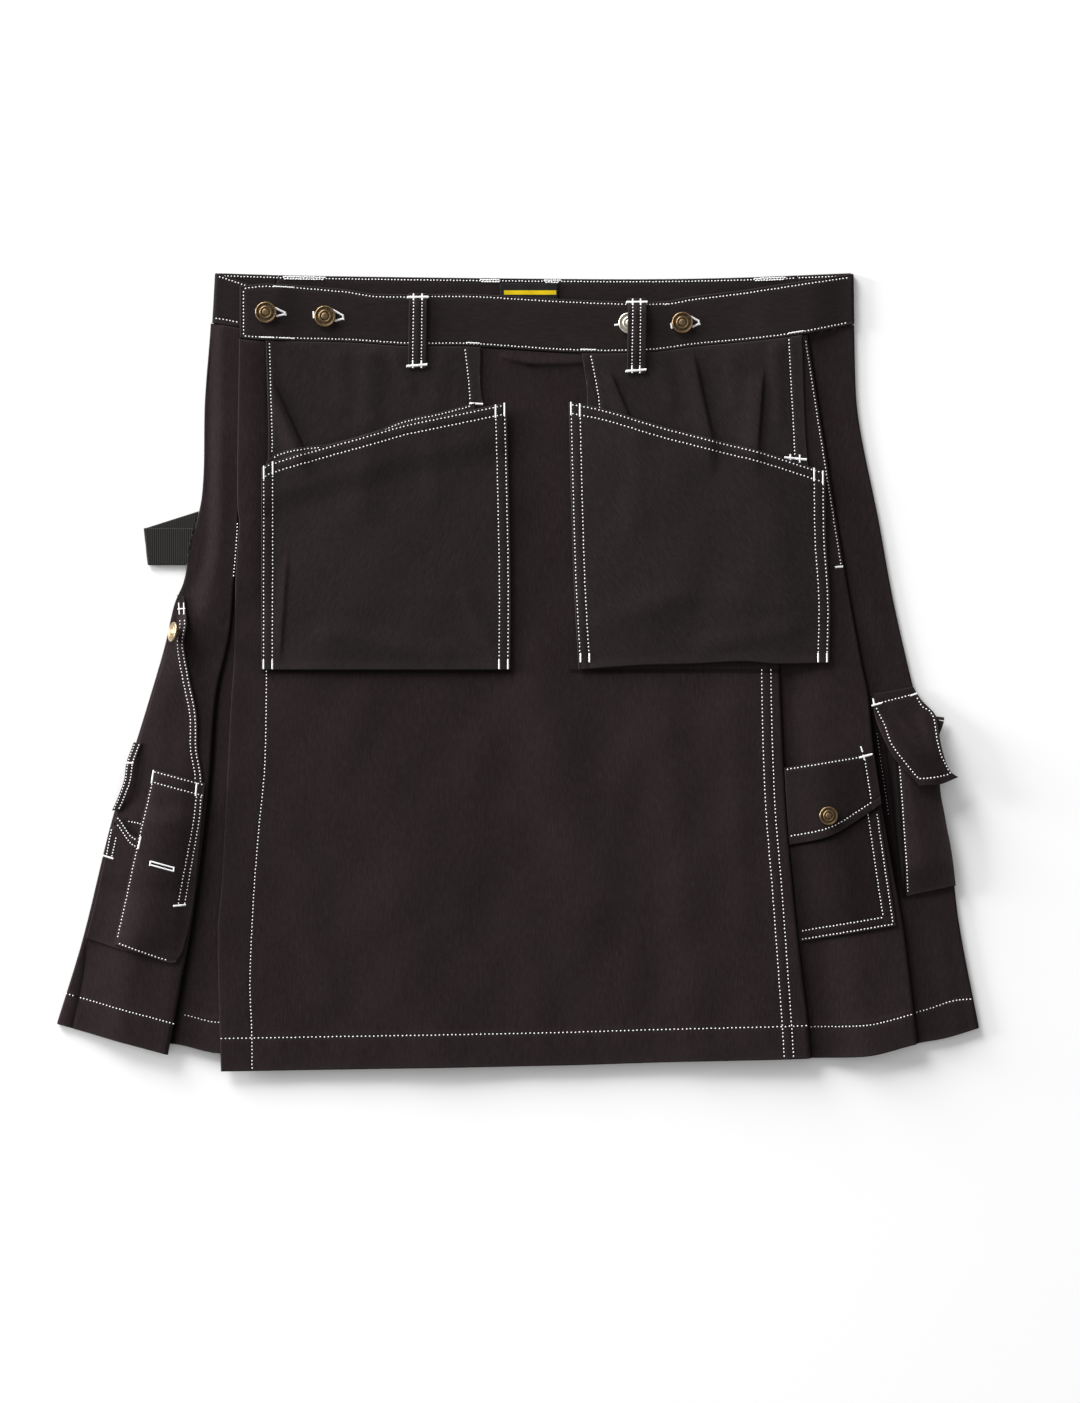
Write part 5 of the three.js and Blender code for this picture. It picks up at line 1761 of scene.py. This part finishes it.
# The flap is painted a little darker as a whole, for how the light falls on it
side_flap = cloth_piece(
    "side_flap_cloth", side_flap_points, cloth_finish("twill of the side flap", *painted_light_copy(TWILL, 0.8), 0.5),
    side_flap_relief(*spots(side_flap_points)),
)
on_side_flap = on_face(side_flap_height, side_flap_relief)
side_flap_thread = Thread()
side_flap_thread.run(across_path(side_flap_lines[0], 283, 316), on_side_flap)
side_flap_thread.run(across_path(side_flap_lines[1], 317.4, 343), on_side_flap)
side_flap_thread.run(down_path(side_flap_sides[0], -28, -84), on_side_flap)
side_flap_thread.run(down_path(side_flap_sides[1], -20, -80), on_side_flap)
for start, end in SIDE_FLAP_TACKS:
    side_flap_thread.bar(start, end, on_side_flap, 1.6)
side_flap_stitches = side_flap_thread.build("side_flap_stitches", thread_white)
lay(side_flap, "side_flap")


# Left side facing
# A facing of the same twill beside the left side fold. Its free edge gapes in a wavy line, with two rows of
# stitches, and it is lifted where the knife button is sewn through it.
facing_edge = line(
    [57, -264.8], [37, -262.6], [21, -264.6], [-6, -260.2], [-34, -254.7], [-62, -254], [-84, -250.4],
    [-150, -251],
)


def facing_right(y):
    """Its wavy free edge, which stays on the left pleat"""
    return np.minimum(facing_edge(y), left_pleat_edge(y) - 1.5)


def facing_curl(x, y):
    """How far that edge gapes, in waves, and most at the button"""
    near_edge = ease(facing_edge(y) - 9, facing_edge(y), x)
    at_button = np.exp(-(((y - 31) / 13) ** 2))
    waves = 0.8 + 0.8 * np.cos((y + 20) / 17)
    return near_edge * (waves + 8.5 * at_button) * ease(-128, -84, y)


def facing_rest(x, y):
    """Where it would lie flat on the left pleat"""
    return left_pleat_height(x, y) + ON_PANEL


def facing_height(x, y):
    """Flat at the left, and gaping at its free edge"""
    return facing_rest(x, y) + facing_curl(x, y)


def over_facing(y):
    """How far the facing lifts the pockets that lie on it"""
    return ON_PANEL * ease(-176, -158, y)


facing_lines = inset_lines(facing_right, (-5.6, -1.6))


def facing_relief(x, y):
    """Two rows of thread along its free edge"""
    return sewn(x, y, facing_lines)


facing_points = patch(
    inset(outline_left, 2.4), facing_right, [line([-275, 62], [-264, 60]), line([-335, -143], [-250, -156])],
    facing_height, facing_lines, at=-275, fine=0.8, coarse=3,
)
facing = cloth_piece(
    "side_facing_cloth", facing_points, cloth_finish("twill of the side facing", *TWILL, -0.25),
    facing_relief(*spots(facing_points)),
)
on_facing = on_face(facing_height, facing_relief)
facing_thread = Thread()
for seam in facing_lines:
    facing_thread.run(down_path(seam, 42, -88), on_facing)
facing_thread.run(np.array([[-310, -118.5], [-299, -120.8]]), on_facing, 2.4)
for start, end in (
    ((-269.6, 54.6), (-269, 46)), ((-265.6, 54.6), (-265.2, 46)), ((-270.2, 50), (-264.8, 50.4)),
):
    facing_thread.bar(start, end, on_facing, 1.1)
facing_stitches = facing_thread.build("side_facing_stitches", thread_white)
lay(facing, "side_facing")


# Tool pocket
# A small twill pocket at the far left, with a curved mouth edged by two rows, partly under the ruler pocket.
tool_top = line([-324, -116.4], [-318, -114], [-313, -120.4], [-307, -128.6], [-299, -132], [-285, -134])
tool_right = line([-130, -285.5], [-224, -300])
tool_foot = line([-336, -214], [-316, -220.2], [-296, -225])


def tool_stand(y):
    """How far the tool pocket stands open towards its mouth"""
    return 1.4 * ease(-165, -130, y)


def tool_height(x, y):
    """On the left pleat and the facing"""
    return left_pleat_height(x, y) + over_facing(y) + ON_PANEL + tool_stand(y)


tool_lines = inset_lines(tool_top, (-1.9, -7.6))
tool_points = patch(
    inset(outline_left, 2.8), tool_right, [tool_top, *tool_lines, tool_foot], tool_height, at=-312,
    fine=0.7, coarse=3,
)


def tool_relief(x, y):
    """Two rows of thread along its mouth"""
    return sewn(x, y, across=tool_lines)


tool = cloth_piece(
    "tool_pocket_cloth", tool_points, cloth_finish("twill of the tool pocket", *TWILL, -0.3),
    tool_relief(*spots(tool_points)),
)
on_tool = on_face(tool_height, tool_relief)
tool_thread = Thread()
for seam in tool_lines:
    tool_thread.run(across_path(seam, -318.4, -300), on_tool, 2.4)
for path in ([[-322.4, -124.5], [-326.5, -145.5]], [[-318.6, -130.9], [-322.3, -146.4]]):
    tool_thread.run(np.array(path), on_tool, 2.4)
tool_thread.bar((-329.4, -145.8), (-321.5, -148.2), on_tool, 1.6)
tool_stitches = tool_thread.build("tool_pocket_stitches", thread_white)
lay(tool, "tool_pocket")


# Ruler pocket
# A long narrow pocket of the same twill, with a stitched top band, a worked buttonhole and two rows down its
# right side. It stands a little off the panel in its middle.
ruler_left = line([-77, -289.4], [-90, -292.2], [-214, -320])
ruler_right = line([-88, -248.3], [-102, -249.4], [-185, -257.6], [-221, -265.6], [-230, -271])
ruler_top = line([-290, -77], [-248, -88.2])
ruler_foot = line([-320, -216], [-277, -230.9], [-271, -230.6])
ruler_band_lines = inset_lines(ruler_top, (-1.8, -10.4))
ruler_near_line = inset_lines(ruler_left, (1.8,))
ruler_foot_line = inset_lines(ruler_foot, (1.8,))
ruler_far_lines = [
    line([-97.3, -254.6], [-119, -257.1], [-184, -269.2]),
    line([-97.3, -250.9], [-119, -252.9], [-184, -264.2]),
]
RULER_ROWS_END = -188
FAR_OFF = 999


def ruler_height(x, y):
    """On the left pleat, the facing and the tool pocket, with the facing's curl and a bulge of its own"""
    aside = tool_right(y)
    over_tool = (ON_PANEL + tool_stand(y)) * ease(aside + 36, aside + 2, x) * ease(-104, -122, y)
    across = np.clip((x - ruler_left(y)) / (ruler_right(y) - ruler_left(y)), 0, 1)
    bulge = 2.2 * np.sin(math.pi * across) * ease(-228, -205, y)
    return left_pleat_height(x, y) + over_facing(y) + ON_PANEL + facing_curl(x, y) + over_tool + bulge


def down_to(seam, foot):
    """A seam that stops there: below that, it is out of reach"""
    return lambda y: np.where(y > foot, seam(y), FAR_OFF)


def ruler_relief(x, y):
    """Thread pulls in the band at its top, both its sides and its foot."""
    rows_down = [down_to(seam, RULER_ROWS_END) for seam in ruler_far_lines]
    return sewn(x, y, ruler_near_line + rows_down, ruler_band_lines + ruler_foot_line)


ruler_points = patch(
    ruler_left, ruler_right, [ruler_top, *ruler_band_lines, *ruler_foot_line, ruler_foot], ruler_height,
    ruler_near_line, at=-280, fine=0.7, coarse=1.8,
)
ruler = cloth_piece(
    "ruler_pocket_cloth", ruler_points, cloth_finish("twill of the ruler pocket", *TWILL, -0.22),
    ruler_relief(*spots(ruler_points)),
)
on_ruler = on_face(ruler_height, ruler_relief)
ruler_thread = Thread()
for seam in ruler_band_lines:
    ruler_thread.run(across_path(seam, -289, -249.5), on_ruler)
for seam in ruler_far_lines:
    ruler_thread.run(down_path(seam, -98, -185), on_ruler)
ruler_thread.run(down_path(ruler_near_line[0], -88, -212), on_ruler)
ruler_thread.run(across_path(ruler_foot, -317, -277, 1.8), on_ruler)
for start, end in (
    ((-298.7, -130.9), (-300.7, -140)), ((-289, -78.5), (-290.4, -88)), ((-254.6, -88.5), (-255.4, -98)),
):
    ruler_thread.bar(start, end, on_ruler, 1.6)
ruler_thread.bar((-272.6, -185.6), (-263.6, -184.8), on_ruler, 1.8)
for rise in (1.4, -1.4):
    ruler_thread.bar((-290.2, -151.6 + rise), (-273, -156.4 + rise), on_ruler, 1.3, 0.5)
ruler_thread.bar((-290.8, -150.2), (-291.2, -153.2), on_ruler, 1.4, 0.5)
ruler_thread.bar((-272.2, -154.9), (-272.6, -157.9), on_ruler, 1.4, 0.5)
ruler_stitches = ruler_thread.build("ruler_pocket_stitches", thread_white)
lay(
    ruler, "ruler_pocket",
)


# Side loop
# A slack strip of the same twill at the far left edge, above the tool pocket, with stitches along both edges.
SIDE_LOOP_TOP = -56
SIDE_LOOP_FOOT = -110
SIDE_LOOP_HALF = 3.2
loop_middle = line([-52, -300.8], [-59, -303], [-72, -307.5], [-86, -309.5], [-102, -315.5], [-114, -321.5])


def side_loop_height(x, y):
    """On the facing, slack between its ends"""
    slack = 2.2 * ease(SIDE_LOOP_TOP, SIDE_LOOP_TOP - 19, y) * ease(SIDE_LOOP_FOOT, SIDE_LOOP_FOOT + 17, y)
    return facing_rest(x, y) + ON_PANEL + slack


side_loop_lines = inset_lines(loop_middle, (-1.9, 1.9))
side_loop_points = patch(
    inset(loop_middle, -SIDE_LOOP_HALF), inset(loop_middle, SIDE_LOOP_HALF),
    [level(SIDE_LOOP_TOP), level(SIDE_LOOP_FOOT)],
    side_loop_height, side_loop_lines, at=-310, fine=0.6, coarse=1.2,
)
side_loop = cloth_piece(
    "side_loop_cloth", side_loop_points, cloth_finish("twill of the side loop", *TWILL, -0.4),
    sewn(*spots(side_loop_points), side_loop_lines),
)
on_side_loop = on_face(side_loop_height, above=-0.2)
side_loop_thread = Thread()
for seam in side_loop_lines:
    side_loop_thread.run(down_path(seam, -57, -109), on_side_loop, 2.4)
side_loop_thread.bar((-310.4, -72.3), (-305.4, -72.3), on_side_loop, 1.6)
side_loop_stitches = side_loop_thread.build("side_loop_stitches", thread_white)
lay(
    side_loop, "side_loop",
)


# Webbing loop
# A tool loop of ribbed black webbing, 30 mm wide, sewn into the left side and folded back on the slant.
WEBBING_WIDTH = 29.6
WEBBING_THICK = 1.4
WEBBING_FOOT = 85
WEBBING_SLANT = math.tan(math.radians(17.7))
WEBBING_BACK = -298
RIB_PITCH = 1.7
low = WEBBING_THICK / 2
high = low + WEBBING_THICK + GAP
webbing_radius = (high - low) / 2
down_share = np.linspace(0, 1, 31)[:, None]
webbing_y = WEBBING_FOOT + WEBBING_WIDTH * (1 - down_share)
webbing_centre = WEBBING_BACK + 3.2 * down_share + webbing_radius + WEBBING_THICK / 2
# The lower length runs up on the slant until it meets the side fold
webbing_reach = 0 * webbing_y + 40
for _ in range(6):
    webbing_reach = outline_left(webbing_y + webbing_reach * WEBBING_SLANT) - 0.4 - webbing_centre
back_share = np.linspace(1, 0, 41)
back_x = webbing_centre + webbing_reach * back_share
back_y = webbing_y + webbing_reach * back_share * WEBBING_SLANT
around = np.radians(np.linspace(270, 90, 9)[1:-1])
turn_x = webbing_centre + webbing_radius * np.cos(around)
turn_z = (low + high) / 2 + webbing_radius * np.sin(around) + 0 * turn_x
front_x = mix(webbing_centre, outline_left(webbing_y) - 0.35, np.linspace(0, 1, 141))
webbing_points = np.concatenate([
    np.stack([back_x, back_y, low + 0 * back_x], axis=2),
    np.stack([turn_x, webbing_y + 0 * turn_x, turn_z], axis=2),
    np.stack([front_x, webbing_y + 0 * front_x, high + 0 * front_x], axis=2),
], axis=1)
ribbed = 0.22 * np.abs(np.sin(math.pi * webbing_points[:, :, 0] / RIB_PITCH)) ** 0.7 - 0.2
webbing_finish = Finish("ribbed webbing", Specular_IOR_Level=0.15)
webbing_place = webbing_finish.node("ShaderNodeTexCoord", {}, {}, 3)
webbing_grain = webbing_finish.noise(webbing_place, 900, 2)
webbing_across = webbing_finish.node("ShaderNodeSeparateXYZ", {}, {"Vector": webbing_place}, 0)
rib_phase = webbing_across * (2 * math.pi / (RIB_PITCH * MILLIMETRE))
# Painted shade: the hollows between the ribs are painted near black
painted_rib_shade = webbing_finish.spread(rib_phase.maths("COSINE", rib_phase), 0.1, 1.0)
webbing_ridges = webbing_finish.blend(webbing_grain, (0.017, 0.016, 0.014, 1), (0.030, 0.028, 0.025, 1))
webbing_colour = webbing_finish.blend(painted_rib_shade, webbing_ridges, (0.003, 0.003, 0.003, 1))
webbing_finish.feed(webbing_finish.shader.inputs["Base Color"], webbing_colour)
webbing_finish.feed(webbing_finish.shader.inputs["Roughness"], webbing_grain * 0.3 + 0.45)
webbing_finish.bump(webbing_grain, 0.5, 0.0003)
webbing = cloth_piece("webbing_strip", webbing_points, webbing_finish.material, ribbed, WEBBING_THICK)
lay(webbing, "webbing_loop")


# Buttons
# Stamped brass caps with a rolled rim and plain raised rings, browned in the hollows and rubbed bright on
# the ridges, each on a short shank. Four close the waistband, one the cargo flap, and one stands at the left.
BUTTON_RADIUS = 8.5
FLAP_BUTTON_RADIUS = 7.4
FLAP_BUTTON = (246.2, -114)
KNIFE_BUTTON_RADIUS = 8
KNIFE_BUTTON_NECK = 5
KNIFE_BUTTON = (-268.35, 30.6, 11.4)
KNIFE_BUTTON_FACES = (-0.87, 0.18, 0.46)
UP = (0, 0, 1)
NECK = 0.9
SEAT = 0.3
SIDES = 56


def brass_finish(name, dark, bright):
    """Old brass: dark in the hollows, with bright rubbed ridges"""
    finish = Finish(name, Metallic=1.0)
    place = finish.node("ShaderNodeTexCoord", {}, {}, 3)
    patina = finish.spread(finish.noise(place, 420, 4), 0.35, 0.65)
    rubbed_and_shaded = finish.node("ShaderNodeAttribute", {"attribute_name": "wear_and_painted_shade"}, {}, 2)
    finish.feed(finish.shader.inputs["Base Color"], finish.blend(rubbed_and_shaded * 0.75 + patina * 0.25, dark, bright))
    finish.feed(finish.shader.inputs["Roughness"], 0.5 - rubbed_and_shaded * 0.2 + patina * 0.12)
    finish.bump(patina, 0.12, 0.0002)
    return finish.material


def button(name, radius, neck, place, axis, material):
    """A lathed button whose shank's foot is at place and whose cap faces along axis"""
    r = radius
    profile = np.array([
        # distance from the axis, height above the foot, how bright it is rubbed
        [0, 0, 0], [2.2, 0, 0], [2.6, 0.3, 0], [2.6, neck, 0], [r - 1.3, neck, 0], [r - 0.5, neck + 0.2, 0.4],
        [r - 0.1, neck + 0.55, 0.9], [r, neck + 0.9, 1], [r - 0.12, neck + 1.35, 1],
        [r - 0.5, neck + 1.75, 1], [r - 1.0, neck + 1.85, 0.7], [r - 1.4, neck + 1.6, 0.1],
        [r - 1.7, neck + 1.35, 0],
        [r * 0.66, neck + 1.4, 0.15], [r * 0.60, neck + 1.45, 0.05], [r * 0.56, neck + 1.85, 0.6],
        [r * 0.52, neck + 2.1, 0.9], [r * 0.47, neck + 2.0, 0.5], [r * 0.42, neck + 1.65, 0],
        [r * 0.36, neck + 1.6, 0], [r * 0.30, neck + 2.05, 0.4], [r * 0.22, neck + 2.3, 0.75],
        [r * 0.1, neck + 2.4, 0.55], [0, neck + 2.4, 0.4],
    ])
    angle = np.linspace(0, 2 * math.pi, SIDES, endpoint=False)
    middle = profile[1:-1]
    rings = np.stack([
        middle[:, [0]] * np.cos(angle), middle[:, [0]] * np.sin(angle), middle[:, [1]] + 0 * angle,
    ], axis=2)
    corners = np.concatenate([[[0, 0, 0]], rings.reshape(-1, 3), [[0, 0, profile[-1, 1]]]])
    z = unit(np.array(axis, float))
    x = unit(np.cross((0, 1, 0.001), z))
    turned = corners @ np.stack([x, np.cross(z, x), z]) + np.array(place)
    ring = np.arange(SIDES)
    after = np.roll(ring, -1)
    last = len(corners) - 1
    top_ring = 1 + (len(middle) - 1) * SIDES
    faces = np.stack([0 * ring, 1 + after, 1 + ring], axis=1).tolist()
    faces += np.stack([top_ring + ring, top_ring + after, 0 * ring + last], axis=1).tolist()
    start = 1 + SIDES * np.arange(len(middle) - 1)[:, None]
    quads = np.stack([start + ring, start + after, start + SIDES + after, start + SIDES + ring], axis=2)
    faces += quads.reshape(-1, 4).tolist()
    made = new_object(name, turned, faces, material)
    wear_and_painted_shade = np.concatenate([[0], np.repeat(middle[:, 2], SIDES), [0.4]])
    made.data.attributes.new("wear_and_painted_shade", "FLOAT", "POINT").data.foreach_set("value", wear_and_painted_shade)
    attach(made, "root")
    return made


old_brass = brass_finish("old brass", (0.030, 0.020, 0.012, 1), (0.28, 0.19, 0.10, 1))
rubbed_brass = brass_finish("rubbed brass", (0.14, 0.10, 0.06, 1), (0.46, 0.37, 0.23, 1))
bare_brass = brass_finish("bare brass", (0.32, 0.28, 0.22, 1), (0.85, 0.80, 0.72, 1))
for name, x, y, material in (
    ("waist_button_left_outer", -200, 285.4, old_brass),
    ("waist_button_left_inner", -153.2, 282.5, old_brass),
    ("waist_button_right_inner", 88.4, 277.1, bare_brass),
    ("waist_button_right_outer", 130.8, 277.5, old_brass),
):
    place = (x, y, float(band_height(x)) + BAND / 2 + SEAT)
    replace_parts(button(name + "_brass", BUTTON_RADIUS, NECK, place, UP, material), name)

flap_button_place = (*FLAP_BUTTON, float(flap_height(*FLAP_BUTTON)) + CLOTH / 2 + SEAT)
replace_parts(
    button("cargo_flap_button_brass", FLAP_BUTTON_RADIUS, NECK, flap_button_place, UP, old_brass),
    "cargo_flap_button",
)
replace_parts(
    button(
        "knife_button_brass", KNIFE_BUTTON_RADIUS, KNIFE_BUTTON_NECK, KNIFE_BUTTON, KNIFE_BUTTON_FACES,
        rubbed_brass,
    ),
    "knife_button",
)
